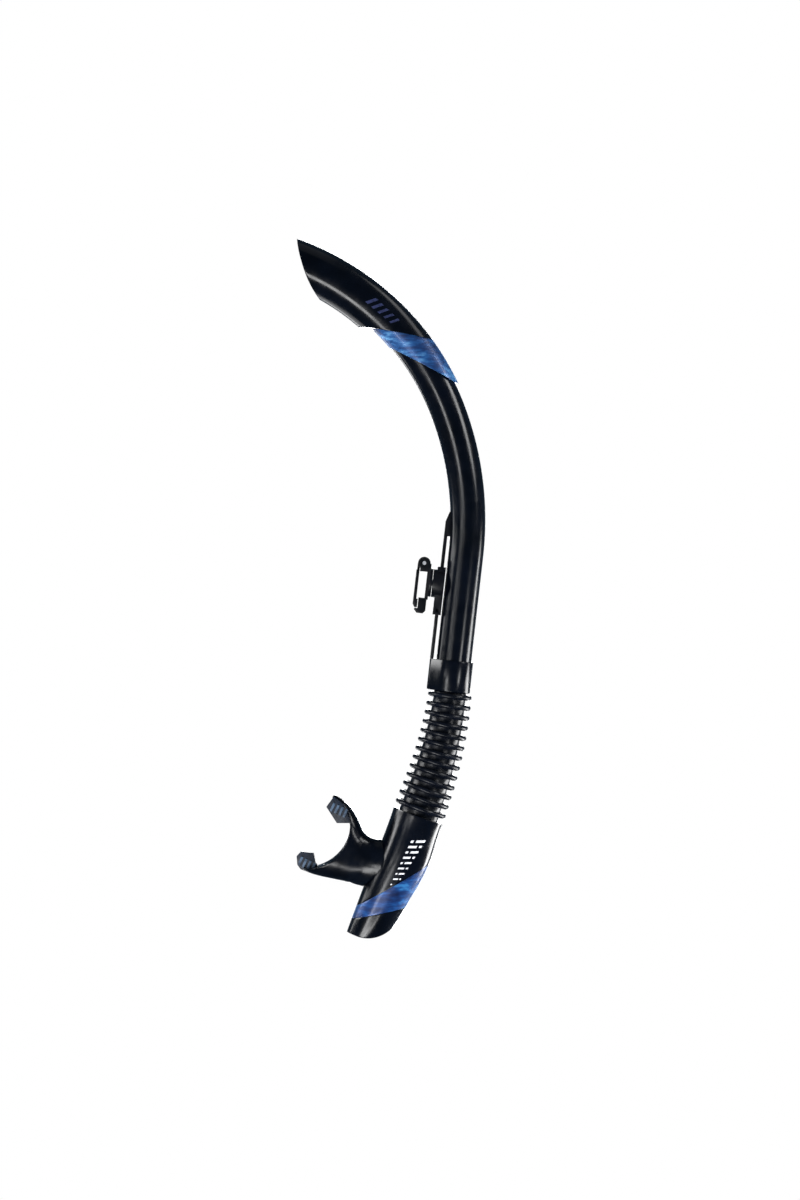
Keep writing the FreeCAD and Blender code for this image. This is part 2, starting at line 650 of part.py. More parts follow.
def housing_loft(name, stations, thinner):
    """The housing's tapering form, with its toe cut flat and its end rounded towards the back."""
    body = new_body(name + "_form")
    sections = []
    for depth, middle, radius in stations:
        sketch = new_sketch(body, "%s_at_%d" % (name, depth), "XY_Plane")
        sketch.AttachmentOffset = Placement(Vector(0, 0, -depth), Rotation())
        draw_circle(sketch, str(middle), "0", "%s - %s" % (radius, thinner))
        sections.append(sketch)
    doc.recompute()
    loft = body.newObject("PartDesign::AdditiveLoft", name + "_loft")
    loft.Profile = (sections[0], [""])
    loft.Sections = [(section, [""]) for section in sections[1:]]
    doc.recompute()
    toe = new_sketch(body, name + "_toe", "XZ_Plane")
    level = "end_z - end_radius + %s" % thinner
    draw_polygon(toe, box_corners("end_x - 30", "end_x + 30", "-110", level))
    cut(body, toe, name + "_toe_cut", "80", True)
    curve = cross_cylinder(name + "_end_curve", "end_radius - %s" % thinner, "end_x", "end_z")
    corner = polygon_body(name + "_end_corner", "XZ_Plane", box_corners(
        "end_x", "end_x + 40", "-110", "end_z"), "60")
    return part_cut(name, body, part_cut(name + "_end_waste", corner, curve))


housing_solid = housing_loft("housing_solid", STATIONS, "0")
housing_space = housing_loft("housing_space", STATIONS[1:], "housing_wall")
housing_shell = part_cut("housing_shell", housing_solid, housing_space)


def level_at(edge, x):
    return "%s + %s_slope * %s" % (edge, edge, x)


upper_zone = polygon_body("upper_zone", "XZ_Plane", (
    ("30", level_at("band_top", "30") + " + seam"), ("30", "20"), ("-30", "20"),
    ("-30", level_at("band_top", "-30") + " + seam")), "60")
band_zone = polygon_body("band_zone", "XZ_Plane", (
    ("30", level_at("band_top", "30") + " - seam"), ("-30", level_at("band_top", "-30") + " - seam"),
    ("-30", level_at("band_low", "-30") + " + seam"), ("30", level_at("band_low", "30") + " + seam")), "60")
cover_zone = polygon_body("cover_zone", "XZ_Plane", (
    ("30", level_at("band_low", "30") + " - seam"), ("-30", level_at("band_low", "-30") + " - seam"),
    ("-30", "-100"), ("30", "-100")), "60")


def oval_body(name, half, depth, start, length, middle="neck_shift"):
    """An elliptical bar along the mouth frame's z, placed in the housing frame."""
    oval = doc.addObject("Part::Ellipse", name + "_rim")
    oval.setExpression("MajorRadius", bound(half))
    oval.setExpression("MinorRadius", bound(depth))
    oval.Placement = Placement(Vector(number_of(bound(middle)), 0, start), Rotation())
    bar = doc.addObject("Part::Extrusion", name)
    bar.Base = oval
    bar.DirMode = "Custom"
    bar.Dir = Vector(0, 0, 1)
    bar.LengthFwd = length
    bar.Solid = True
    bar.Placement = mouth_in_housing
    doc.recompute()
    return bar


reach = value["port_reach"]
port_wall = oval_body("port_wall_bar", "port_half", "port_depth", -9.0, 9.0 + reach)
port_bore = oval_body("port_bore_bar", "port_half - port_wall", "port_depth - port_wall", -10.0, 60.0)
port_room = oval_body("port_room_bar", "port_half + fit_gap", "port_depth + fit_gap", -10.0, 10.1 + reach)
port_stub = part_cut("port_stub", port_wall, housing_space)
swivel_bore = turned_body("swivel_bore_tool", (
    ("0", "- clip_depth - 2.7"), ("swivel_bore", "- clip_depth - 2.7"),
    ("swivel_bore", "- clip_depth - 0.7"), ("clip_outer + fit_gap", "- clip_depth - 0.7"),
    ("clip_outer + fit_gap", "- clip_depth + 0.7"), ("swivel_bore", "- clip_depth + 0.7"),
    ("swivel_bore", "- lip_thick"), ("lip_bore", "- lip_thick"), ("lip_bore", "1"), ("0", "1")))
casing = part_fuse("housing_casing", part_common("housing_top", housing_shell, upper_zone), port_stub)
openings = part_fuse("housing_openings", port_bore, swivel_bore)
finish(part_cut("housing_part", casing, openings), "lower_housing", housing)
finish(part_common("band_part", housing_shell, band_zone), "lower_trim_band", housing)

vents = new_body("vents_body")
vent_spot = new_sketch(vents, "vent_outline", "XY_Plane")
draw_polygon(vent_spot, box_corners(
    "- vent_width / 2", "vent_width / 2", "- vent_length / 2", "vent_length / 2"))
vent_bar = pad(vents, vent_spot, "vent_bar", "14", True)
row = vents.newObject("PartDesign::LinearPattern", "vent_row")
row.Originals = [vent_bar]
row.Direction = (vent_spot, ["H_Axis"])
row.setExpression("Length", bound("vent_pitch * ( vent_count - 1 )"))
row.setExpression("Occurrences", bound("vent_count"))
vents.Tip = row
doc.recompute()
vent_start = Vector(value["end_x"] + 3.4, 0, value["end_z"] - value["end_radius"])
vents.Placement = Placement(vent_start, Rotation(UP, -value["vent_slope"]))
cover_blank = part_common("cover_blank", housing_shell, cover_zone)
finish(part_cut("cover_part", cover_blank, vents), "purge_cover", housing)

# ---- purge valve: seat and flap, in a frame on the band's lower edge, z pointing out ----

seat_angle = 180 - math.degrees(math.atan(value["band_low_slope"]))
seat_level = value["band_low"] + value["band_low_slope"] * value["purge_x"]
purge = Placement(Vector(value["purge_x"], 0, seat_level), Rotation(UP, seat_angle))

slab = new_body("seat_slab")
slab_outline = new_sketch(slab, "seat_slab_outline", "XY_Plane")
draw_circle(slab_outline, "0", "0", "30")
pad(slab, slab_outline, "seat_slab_pad", "seat_thick", reverse=True)
stem_hole = new_sketch(slab, "stem_hole", "XY_Plane")
draw_circle(stem_hole, "0", "0", "stem_radius + fit_gap")
cut(slab, stem_hole, "stem_hole_cut", "20", True)
window = new_sketch(slab, "seat_window", "XY_Plane")
draw_circle(window, "window_ring", "0", "window_radius")
opening = cut(slab, window, "seat_window_cut", "20", True)
windows = slab.newObject("PartDesign::PolarPattern", "seat_windows")
windows.Originals = [opening]
windows.Axis = (window, ["N_Axis"])
windows.setExpression("Occurrences", bound("window_count"))
slab.Tip = windows
slab.Placement = purge * Placement(Vector(0, 0, -value["seat_lift"]), Rotation())
doc.recompute()
finish(part_common("seat_part", slab, housing_space), "purge_seat", housing)

knob_low = "- seat_thick - flap_travel - 0.4"
flap = turned_body("flap_body", (
    ("0", "0.3 + flap_thick"), ("flap_radius", "0.3 + flap_thick * 0.5"), ("flap_radius", "0.3"),
    ("stem_radius", "0.3"), ("stem_radius", knob_low), ("knob_radius", knob_low),
    ("stem_radius * 0.6", knob_low + " - 2.4"), ("0", knob_low + " - 2.4")))
flap_frame = housing * slab.Placement
finish(flap, "purge_flap", flap_frame)

# ---- mouthpiece and bite tabs, built in the housing frame ----


# Sections up the neck: name, z, x of its centre, half width, half height. It hugs the
# housing, narrows at the throat and opens again into the shield.
NECK = (("root", -9.0, 0.6, 18.2, 15.0), ("waist", 2.5, -1.2, 16.9, 11.9), ("throat", 11.0, -4.2, 15.3, 10.9),
        ("flare", 20.0, -4.6, 15.5, 11.2), ("brim", 30.0, -4.6, 18.0, 12.4))


def neck_loft():
    rims = []
    for name, height, middle, half, depth in NECK:
        rim = doc.addObject("Part::Ellipse", "neck_" + name)
        rim.MajorRadius = half
        rim.MinorRadius = depth
        rim.Placement = Placement(Vector(middle, 0, height), Rotation())
        rims.append(rim)
    loft = doc.addObject("Part::Loft", "neck_loft")
    loft.Sections = rims
    loft.Solid = True
    return loft


shield_round = cross_cylinder("shield_round", "shield_outer", "shield_outer_x", "shield_outer_z")
arm_round = cross_cylinder("arm_round", "arm_outer", "arm_outer_x", "arm_outer_z")
shield_scoop = cross_cylinder("shield_scoop", "shield_inner", "shield_inner_x", "shield_inner_z")
face_rim = doc.addObject("Part::Ellipse", "shield_face_rim")
face_rim.setExpression("MajorRadius", "Dims.shield_half")
face_rim.setExpression("MinorRadius", "Dims.shield_depth")
face = doc.addObject("Part::Extrusion", "shield_face")
face.Base = face_rim
face.DirMode = "Custom"
face.Dir = Vector(0, 0, 1)
face.LengthFwd = 70
face.Solid = True
shield_plate = part_common("shield_plate", shield_round, arm_round, face)
mouth_blank = part_cut("mouth_blank", part_fuse("mouth_joined", neck_loft(), shield_plate), shield_scoop)
mouth_blank.Placement = mouth_in_housing


def tab_body(name, corners, ridge_x, ridge_z):
    """A bite tab: a flat lug lying in the plane of the teeth, with ridges on both faces."""
    body = polygon_body(name, "XZ_Plane", corners, "tab_thick")
    for index in range(4):
        low = "%s + %d * ridge_step" % (ridge_z, index)
        ridge = new_sketch(body, "%s_ridge_%d" % (name, index + 1), "XZ_Plane")
        draw_polygon(ridge, box_corners(ridge_x, ridge_x + " + ridge_length", low, low + " + ridge_step / 2"))
        pad(body, ridge, ridge.Name + "_pad", "tab_thick + 2 * tab_ridge", True)
    body.Placement = mouth_in_housing
    return body


tab_high = tab_body("tab_high", (
    ("15.4", "26.4"), ("19.8", "28.9"), ("24.3", "34.5"), ("26.2", "43.2"), ("18.3", "44.8"),
    ("11.7", "34.4")), "17.0", "31.4")
tab_low = tab_body("tab_low", (
    ("-24.2", "34.0"), ("-19.2", "32.4"), ("-16.9", "36.2"), ("-11.8", "39.8"), ("-14.6", "47.6"),
    ("-18.4", "48.8"), ("-23.0", "46.2"), ("-24.8", "43.0")), "-23.0", "35.6")
mouth_hollow = part_fuse("mouth_hollow", port_room, port_bore, housing_solid, tab_high, tab_low)
finish(part_cut("mouth_part", mouth_blank, mouth_hollow), "mouthpiece", housing)
lug_rounding = oval_body("lug_rounding", "30", "30", 20.0, 40.0, "0")
finish(part_common("bite_lug_high", tab_high, lug_rounding), "bite_tab_upper", housing)
finish(part_common("bite_lug_low", tab_low, lug_rounding), "bite_tab_lower", housing)

# ---- strap keeper, in the leg frame ----

slider = new_body("slider_body")
block = new_sketch(slider, "slider_block", "XY_Plane")
draw_polygon(block, box_corners("slider_face", "slider_back", "- slider_half", "slider_half"))
block.AttachmentOffset = Placement(Vector(0, 0, value["slider_top"] - value["slider_length"]), Rotation())
pad(slider, block, "slider_block_pad", "slider_length")
boss = new_sketch(slider, "slider_boss", "YZ_Plane")
draw_circle(boss, "0", "boss_level", "boss_radius")
boss.AttachmentOffset = Placement(Vector(0, 0, value["boss_face"]), Rotation())
pad(slider, boss, "slider_boss_pad", "boss_back - boss_face")
channel = new_sketch(slider, "slider_channel", "XY_Plane")
rail_low = "rail_face - rail_gap"
rail_high = "rail_face + rail_thick + rail_gap"
rail_half = "( rail_width / 2 + rail_gap )"
draw_polygon(channel, (
    (rail_low, "- " + rail_half), (rail_high, "- " + rail_half), (rail_high, "- slit_half"),
    ("slider_back + 1", "- slit_half"), ("slider_back + 1", "slit_half"), (rail_high, "slit_half"),
    (rail_high, rail_half), (rail_low, rail_half)))
cut(slider, channel, "slider_channel_cut", "120", True)
for name, radius, start, depth in (("rivet_hole", "rivet_radius + 0.02", "boss_face", "6"),
                                   ("rivet_seat", "rivet_head + 0.05", "rivet_end - head_thick - 0.02", "4")):
    spot = new_sketch(slider, name, "YZ_Plane")
    draw_circle(spot, "0", "boss_level", radius)
    spot.AttachmentOffset = Placement(Vector(0, 0, number_of(bound(start))), Rotation())
    cut(slider, spot, name + "_cut", depth, reverse=True)
dimple = new_sketch(slider, "slider_dimple", "XZ_Plane")
draw_circle(dimple, "11.6", "-15.2", "1.0")
cut(slider, dimple, "slider_dimple_cut", "30", True)
finish(slider, "keeper_slider", leg)

rivet = new_body("rivet_body")
rivet_section = new_sketch(rivet, "rivet_section", "XY_Plane")
draw_polygon(rivet_section, (
    ("rivet_start", "0"), ("rivet_end", "0"), ("rivet_end", "rivet_head"),
    ("rivet_end - head_thick", "rivet_head"), ("rivet_end - head_thick", "rivet_radius"),
    ("rivet_start + head_thick", "rivet_radius"), ("rivet_start + head_thick", "rivet_head"),
    ("rivet_start", "rivet_head")))
revolve(rivet, rivet_section, "rivet_turned", axis="H_Axis")
finish(rivet, "swivel_rivet", leg * Placement(Vector(0, 0, value["boss_level"]), Rotation()))


def cross_pad(body, name, corners, width):
    sketch = new_sketch(body, name, "XZ_Plane")
    draw_polygon(sketch, corners)
    return pad(body, sketch, name + "_pad", width, True)


def cross_disc(body, name, radius, width, cutting=False):
    """A disc or hole about the gate's hinge line."""
    sketch = new_sketch(body, name, "XZ_Plane")
    draw_circle(sketch, "0", "hinge_level", radius)
    if cutting:
        return cut(body, sketch, name + "_cut", width, True)
    return pad(body, sketch, name + "_pad", width, True)


loop = new_body("loop_body")
cross_pad(loop, "loop_post", box_corners("post_face", "post_back", "- slot_half - 1", "hinge_level"),
          "loop_half * 2")
cross_pad(loop, "loop_bridge", box_corners("- bridge_face", "post_back", "slot_half", "hinge_level"),
          "loop_half * 2")
cross_pad(loop, "loop_block", (
    ("- block_face", "- slot_half"), ("- block_face", "- block_foot + 1.8"),
    ("- block_face + 1.8", "- block_foot"), ("post_face - 0.2", "- block_foot"),
    ("post_back - 0.7", "- block_foot + 1.8"), ("post_back - 0.7", "- slot_half")), "loop_half * 2")
cross_disc(loop, "loop_ears", "ear_radius", "loop_half * 2")
disc = new_sketch(loop, "loop_disc", "YZ_Plane")
draw_circle(disc, "0", "boss_level", "boss_radius")
disc.AttachmentOffset = Placement(Vector(0, 0, value["post_back"] - 0.1), Rotation())
pad(loop, disc, "loop_disc_pad", "disc_back - post_back + 0.1")
cross_disc(loop, "knuckle_room", "knuckle_radius + 0.3", "knuckle_half * 2 + 0.6", True)
cross_disc(loop, "loop_pin_hole", "pin_radius + 0.02", "30", True)
notch = new_sketch(loop, "latch_notch", "XZ_Plane")
draw_polygon(notch, box_corners("- block_face - 1", "-1.2", "- gate_foot - 0.4", "- slot_half + 0.01"))
cut(loop, notch, "latch_notch_cut", "30", True)
for name, radius, depth in (("loop_bore", "rivet_radius + 0.05", "10"),
                            ("loop_recess", "rivet_head + 0.3",
                             "rivet_start + head_thick + 0.1 - post_face")):
    spot = new_sketch(loop, name, "YZ_Plane")
    draw_circle(spot, "0", "boss_level", radius)
    spot.AttachmentOffset = Placement(Vector(0, 0, value["post_face"] - 0.01), Rotation())
    cut(loop, spot, name + "_cut", depth + " + 0.01", reverse=True)
finish(loop, "strap_loop", leg)

gate = new_body("gate_body")
cross_pad(gate, "gate_bar", box_corners("- gate_face", "- gate_back", "- gate_foot + 2", "gate_head"),
          "loop_half * 2 - 0.2")
cross_pad(gate, "gate_tail", (
    ("- gate_face", "- gate_foot + 2"), ("- gate_face + 1.2", "- gate_foot"), ("-1.6", "- gate_foot"),
    ("-1.6", "- slot_half - 1"), ("- gate_back", "- slot_half - 1")), "loop_half * 2 - 0.2")
cross_pad(gate, "gate_neck", box_corners("- gate_face + 0.4", "- gate_back", "gate_head", "hinge_level"),
          "knuckle_half * 2")
cross_disc(gate, "gate_knuckle", "knuckle_radius", "knuckle_half * 2")
cross_disc(gate, "gate_bore", "pin_radius + 0.07", "30", True)
finish(gate, "strap_gate", leg)

pin = new_body("pin_body")
cross_disc(pin, "pin_rod", "pin_radius", "loop_half * 2 + 0.3")
finish(pin, "gate_pin", leg)

# ---- checks and export ----

doc.recompute()
for item in doc.Objects:
    if "Invalid" in item.State or "Error" in item.State:
        raise RuntimeError("%s failed: %s" % (item.Name, item.State))
for item in written:
    shape = item.Shape
    if shape.isNull() or not shape.isValid() or shape.Volume <= 0:
        raise RuntimeError(item.Label + " has no valid solid")

os.makedirs("parts", exist_ok=True)
for item in written:
    item.Shape.exportStep("parts/%s.step" % item.Label)
    box = item.Shape.BoundBox
    print("%-18s solids %d  volume %9.1f  x %7.1f %7.1f  z %7.1f %7.1f" % (
        item.Label, len(item.Shape.Solids), item.Shape.Volume, box.XMin, box.XMax, box.ZMin, box.ZMax))
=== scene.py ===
import json
import math

import bmesh
import bpy
from mathutils import Matrix, Vector
from mathutils.bvhtree import BVHTree


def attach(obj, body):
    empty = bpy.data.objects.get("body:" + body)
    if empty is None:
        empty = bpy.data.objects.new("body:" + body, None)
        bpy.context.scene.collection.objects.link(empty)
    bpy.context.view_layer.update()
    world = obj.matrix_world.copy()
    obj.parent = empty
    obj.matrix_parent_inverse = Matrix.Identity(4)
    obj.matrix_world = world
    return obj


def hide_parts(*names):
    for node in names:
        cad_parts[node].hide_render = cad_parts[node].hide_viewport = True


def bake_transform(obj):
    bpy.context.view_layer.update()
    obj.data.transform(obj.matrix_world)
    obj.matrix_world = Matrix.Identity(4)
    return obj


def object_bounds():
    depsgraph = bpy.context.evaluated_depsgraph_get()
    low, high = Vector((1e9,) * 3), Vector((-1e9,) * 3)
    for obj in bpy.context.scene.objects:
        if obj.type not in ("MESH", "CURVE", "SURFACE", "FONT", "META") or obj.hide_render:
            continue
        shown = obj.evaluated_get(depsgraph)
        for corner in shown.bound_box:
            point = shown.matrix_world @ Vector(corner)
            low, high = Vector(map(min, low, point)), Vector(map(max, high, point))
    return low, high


# Looks of the snorkel: a glossy bent barrel with a black splash guard above a pearl-blue ring,
# a corrugated silicone hose, a two-tone purge housing, a soft mouthpiece and a strap keeper.
# Metres, in the CAD frame: the origin is the strap slot's centre and +Z runs up the tube.

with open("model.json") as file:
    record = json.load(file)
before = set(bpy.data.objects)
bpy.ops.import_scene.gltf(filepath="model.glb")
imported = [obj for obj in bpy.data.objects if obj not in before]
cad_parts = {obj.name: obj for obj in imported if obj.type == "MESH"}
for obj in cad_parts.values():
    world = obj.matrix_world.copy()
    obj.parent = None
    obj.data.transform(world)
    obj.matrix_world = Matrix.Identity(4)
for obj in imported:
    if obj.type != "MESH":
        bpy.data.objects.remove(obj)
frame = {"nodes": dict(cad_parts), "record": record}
cad_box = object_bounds()

MM = 0.001
NODES = frame["nodes"]
BODY_OF = {node: body for body, nodes in frame["record"]["behaviour"]["bodies"].items() for node in nodes}
SLOT_OF = {row["node"]: row["material_slot"] for row in frame["record"]["subparts"]}


# ---- camera, light and floor ----

PHOTO_HEIGHT = 0.768                          # height of the view at the object's own plane
PHOTO_CENTRE = Vector((-0.014, 0.0, -0.0099))
LENS = 100.0                                  # focal length in mm
SENSOR = 36.0                                 # sensor width in mm
FLOOR_DROP = 0.66                             # floor below the lowest point of the object
FLOOR_RADIUS = 2.4
ROOM_LIGHT = (0.045, 0.074, 0.110)            # dim and bluish, as the photo's blacks are
BACKDROP = (1.0, 1.0, 1.0)
# Long soft lights round the object: start and end from the view's centre, width, radiance.
# The front and left ones draw the left highlights, the right ones the right highlights, and
# the back and rear ones the far side's and the ribs' edges.
STRIPS = {
    "front_low": ((-0.80, -1.15, -0.42), (-0.22, -1.22, -0.78), 0.30, 19.0),
    "front_high": ((-2.35, -3.30, -0.34), (-1.50, -3.70, -0.34), 0.54, 16.0),
    "front_left_panel": ((-1.10, -1.63, 0.13), (-1.50, -1.29, 0.13), 0.10, 9.0),
    "right_strip_high": ((0.92, -0.52, 0.24), (0.74, -0.16, 0.60), 0.23, 14.0),
    "back_strip_high": ((0.72, -0.16, 0.64), (0.50, 0.20, 0.94), 0.20, 3.2),
    "right_strip_low": ((1.04, 0.10, -0.10), (0.74, 0.68, -0.60), 0.30, 17.0),
    "left_strip": ((-1.82, 0.06, 0.32), (-1.78, 0.06, 0.85), 1.00, 15.0),
    "left_back_strip": ((-1.75, 0.62, 0.04), (-1.75, 0.62, 0.36), 0.40, 4.0),
    "back_left_low": ((-0.80, 0.35, -0.42), (-0.25, 0.80, -0.42), 0.30, 2.0),
    "rear_left_low": ((-0.72, 1.80, -0.55), (-1.12, 1.60, -0.55), 0.60, 4.0),
    "rear_low": ((0.12, 1.95, -0.55), (0.46, 1.90, -0.55), 0.60, 6.0),
    "back_strip": ((0.05, 1.60, -0.50), (0.05, 1.60, 0.70), 0.32, 12.0),
    "top_panel": ((0.0, -0.5, 1.3), (0.0, 0.5, 1.3), 0.9, 0.25)}
# Two short ones close by draw the highlights on the mouthpiece's lower edge and upper arm.
MOUTH_STRIPS = {
    "mouth_strip": ((-0.19, -0.32, -0.37), (0.04, -0.35, -0.35), 0.05, 14.0),
    "arm_strip": ((0.31, -0.35, -0.14), (0.33, -0.31, -0.05), 0.07, 14.0)}


def add_camera():
    """Level and square on, as the photo was taken."""
    data = bpy.data.cameras.new("photo_camera")
    data.lens = LENS
    data.sensor_width = SENSOR
    camera = bpy.data.objects.new("photo_camera", data)
    distance = PHOTO_HEIGHT * LENS / SENSOR
    camera.location = PHOTO_CENTRE - Vector((0.0, distance, 0.0))
    camera.rotation_euler = (math.radians(90), 0.0, 0.0)
    bpy.context.scene.collection.objects.link(camera)
    bpy.context.scene.camera = camera


def add_strip(name, start, end, width, radiance, target):
    """A long one-sided light between two points round the object, facing the target."""
    first = PHOTO_CENTRE + Vector(start)
    last = PHOTO_CENTRE + Vector(end)
    length = (last - first).length
    middle = (first + last) / 2
    along = (last - first).normalized()
    back = middle - target
    back = (back - along * back.dot(along)).normalized()
    data = bpy.data.lights.new(name, "AREA")
    data.shape = "RECTANGLE"
    data.size = width
    data.size_y = length
    data.energy = radiance * math.pi * width * length
    light = bpy.data.objects.new(name, data)
    turn = Matrix((along.cross(back), along, back)).transposed()
    light.matrix_world = Matrix.Translation(middle) @ turn.to_4x4()
    light.visible_camera = False
    bpy.context.scene.collection.objects.link(light)


def add_world():
    """A white cyclorama to look at; what it sends onto the object is far dimmer."""
    world = bpy.data.worlds.new("studio")
    world.use_nodes = True
    bpy.context.scene.world = world
    nodes = world.node_tree.nodes
    links = world.node_tree.links
    background = nodes["Background"]
    choice = nodes.new("ShaderNodeValToRGB")
    choice.color_ramp.elements[0].color = (*ROOM_LIGHT, 1.0)
    choice.color_ramp.elements[1].color = (*BACKDROP, 1.0)
    links.new(nodes.new("ShaderNodeLightPath").outputs["Is Camera Ray"], choice.inputs["Fac"])
    links.new(choice.outputs["Color"], background.inputs["Color"])


def add_floor():
    """A plain pale disc, below the frame of the photo's view."""
    height = cad_box[0].z - FLOOR_DROP
    bm = bmesh.new()
    bmesh.ops.create_circle(bm, cap_ends=True, radius=FLOOR_RADIUS, segments=96)
    bmesh.ops.translate(bm, verts=bm.verts, vec=(0.0, 0.0, height))
    floor = mesh_object("floor", bm)
    floor.data.materials.append(floor_material())
    floor.visible_glossy = False


def mesh_object(name, bm):
    """Turns the bmesh into an object in the scene."""
    mesh = bpy.data.meshes.new(name)
    bm.to_mesh(mesh)
    bm.free()
    obj = bpy.data.objects.new(name, mesh)
    bpy.context.scene.collection.objects.link(obj)
    return obj


# ---- materials ----

NOISE_SPAN = (0.3, 0.7)      # nearly all of a noise value lies between these
RIDGE_FOOT = 2.35 * MM       # the bite tabs' grip ridges start this far from the middle plane
RIDGE_TOP = 2.8 * MM
RIDGE_HIGHLIGHT_LIFT = 0.42            # painted highlight: how far up the colour ramp a ridge's top lies above the grain


class Finish:
    """A Principled material with its node tree at hand. Textures use object space, in metres."""

    def __init__(self, name, roughness, ior=1.45, coat=0.0, coat_roughness=0.1, metallic=0.0):
        self.material = bpy.data.materials.new(name)
        self.material.use_nodes = True
        self.nodes = self.material.node_tree.nodes
        self.links = self.material.node_tree.links
        self.shader = self.nodes["Principled BSDF"]
        self.shader.inputs["Roughness"].default_value = roughness
        self.shader.inputs["IOR"].default_value = ior
        self.shader.inputs["Coat Weight"].default_value = coat
        self.shader.inputs["Coat Roughness"].default_value = coat_roughness
        self.shader.inputs["Metallic"].default_value = metallic
        self.place = self.nodes.new("ShaderNodeTexCoord").outputs["Object"]

    def stretched(self, tilt, scale):
        """Object space turned about Y and stretched, for streaks that run one way."""
        mapping = self.nodes.new("ShaderNodeMapping")
        mapping.inputs["Rotation"].default_value = (0.0, math.radians(tilt), 0.0)
        mapping.inputs["Scale"].default_value = scale
        self.links.new(self.place, mapping.inputs["Vector"])
        return mapping.outputs["Vector"]

    def noise(self, scale, detail=4.0, rough=0.55, where=None):
        """A noise value; the scale is in waves a metre."""
        texture = self.nodes.new("ShaderNodeTexNoise")
        texture.inputs["Scale"].default_value = scale
        texture.inputs["Detail"].default_value = detail
        texture.inputs["Roughness"].default_value = rough
        self.links.new(where or self.place, texture.inputs["Vector"])
        return texture.outputs["Fac"]

    def colours(self, value, stops):
        """Base colour: the value looked up in a ramp of (position, colour) stops."""
        ramp = self.nodes.new("ShaderNodeValToRGB")
        elements = ramp.color_ramp.elements
        while len(elements) < len(stops):
            elements.new(0.5)
        for element, (position, colour) in zip(elements, stops):
            element.position = position
            element.color = (*colour, 1.0)
        self.links.new(value, ramp.inputs["Fac"])
        self.links.new(ramp.outputs["Color"], self.shader.inputs["Base Color"])

    def roughness(self, value, low, high):
        """Roughness that follows a noise value, from low to high."""
        span = self.nodes.new("ShaderNodeMapRange")
        span.inputs["From Min"].default_value = NOISE_SPAN[0]
        span.inputs["From Max"].default_value = NOISE_SPAN[1]
        span.inputs["To Min"].default_value = low
        span.inputs["To Max"].default_value = high
        self.links.new(value, span.inputs["Value"])
        self.links.new(span.outputs["Result"], self.shader.inputs["Roughness"])

    def bumps(self, *layers):
        """Stacks (value, height in metres, strength) layers of relief and gives the material."""
        previous = None
        for value, height, strength in layers:
            bump = self.nodes.new("ShaderNodeBump")
            bump.inputs["Distance"].default_value = height
            bump.inputs["Strength"].default_value = strength
            self.links.new(value, bump.inputs["Height"])
            if previous:
                self.links.new(previous, bump.inputs["Normal"])
            previous = bump.outputs["Normal"]
        self.links.new(previous, self.shader.inputs["Normal"])
        return self.material


def floor_material():
    """Pale paint that glows a little, so that no strip leaves a dark floor."""
    finish = Finish("floor_paint", 0.9, ior=1.2)
    finish.shader.inputs["Emission Color"].default_value = (1.0, 1.0, 1.0, 1.0)
    finish.shader.inputs["Emission Strength"].default_value = 0.78
    finish.colours(finish.noise(3.0, 2.0), ((0.3, (0.26, 0.26, 0.26)), (0.7, (0.29, 0.29, 0.29))))
    return finish.bumps((finish.noise(400.0, 2.0), 0.0002, 0.1))


def gloss_black():
    """Polished black moulding: deep blue-black, faint flow marks and fine handling scratches."""
    finish = Finish("gloss_black", 0.2, ior=1.33)
    cloud = finish.noise(45.0, 3.0)
    finish.colours(cloud, ((0.35, (0.0006, 0.0011, 0.0026)), (0.65, (0.0014, 0.0024, 0.0056))))
    finish.roughness(finish.noise(160.0, 5.0), 0.15, 0.25)
    scratches = finish.noise(1.0, 2.0, 0.5, finish.stretched(-8.0, (900.0, 900.0, 26.0)))
    return finish.bumps((scratches, 0.00001, 0.025), (finish.noise(28.0, 1.0), 0.0002, 0.04))


def satin_black():
    """The keeper's and rail's harder-wearing satin moulding."""
    finish = Finish("satin_black", 0.36, ior=1.24)
    finish.colours(finish.noise(90.0, 4.0), (
        (0.35, (0.0016, 0.002, 0.0032)), (0.7, (0.005, 0.0056, 0.0085))))
    finish.roughness(finish.noise(420.0, 4.0), 0.28, 0.46)
    return finish.bumps((finish.noise(1900.0, 3.0), 0.00003, 0.18))


def pearl_blue(name, streak_tilt, tint=(1.0, 1.0, 1.0)):
    """Pearl-blue moulding with flow streaks and fine flakes; the tint scales its colours."""
    finish = Finish(name, 0.3, ior=1.35, coat=0.18, coat_roughness=0.12, metallic=0.15)
    finish.shader.inputs["Sheen Weight"].default_value = 0.35
    finish.shader.inputs["Sheen Roughness"].default_value = 0.35
    finish.shader.inputs["Sheen Tint"].default_value = (0.25, 0.50, 0.90, 1.0)
    streaks = finish.noise(1.0, 5.0, 0.62, finish.stretched(streak_tilt, (55.0, 90.0, 230.0)))
    blues = ((0.32, (0.006, 0.014, 0.060)), (0.46, (0.009, 0.040, 0.145)),
             (0.56, (0.018, 0.090, 0.270)), (0.70, (0.110, 0.300, 0.560)))
    finish.colours(streaks, [
        (spot, [part * much for part, much in zip(colour, tint)]) for spot, colour in blues])
    finish.roughness(finish.noise(1400.0, 2.0), 0.30, 0.5)
    flakes = finish.noise(2600.0, 1.0)
    return finish.bumps((flakes, 0.00002, 0.20), (streaks, 0.0002, 0.10))


def hose_silicone():
    """Satin black silicone whose highlights break up into small flecks."""
    finish = Finish("hose_silicone", 0.3, ior=1.29)
    finish.colours(finish.noise(120.0, 4.0), (
        (0.35, (0.0008, 0.0014, 0.0034)), (0.7, (0.003, 0.0044, 0.0092))))
    finish.roughness(finish.noise(500.0, 3.0), 0.20, 0.42)
    return finish.bumps((finish.noise(330.0, 3.0), 0.00025, 0.55), (finish.noise(1700.0, 2.0), 0.00002, 0.2))


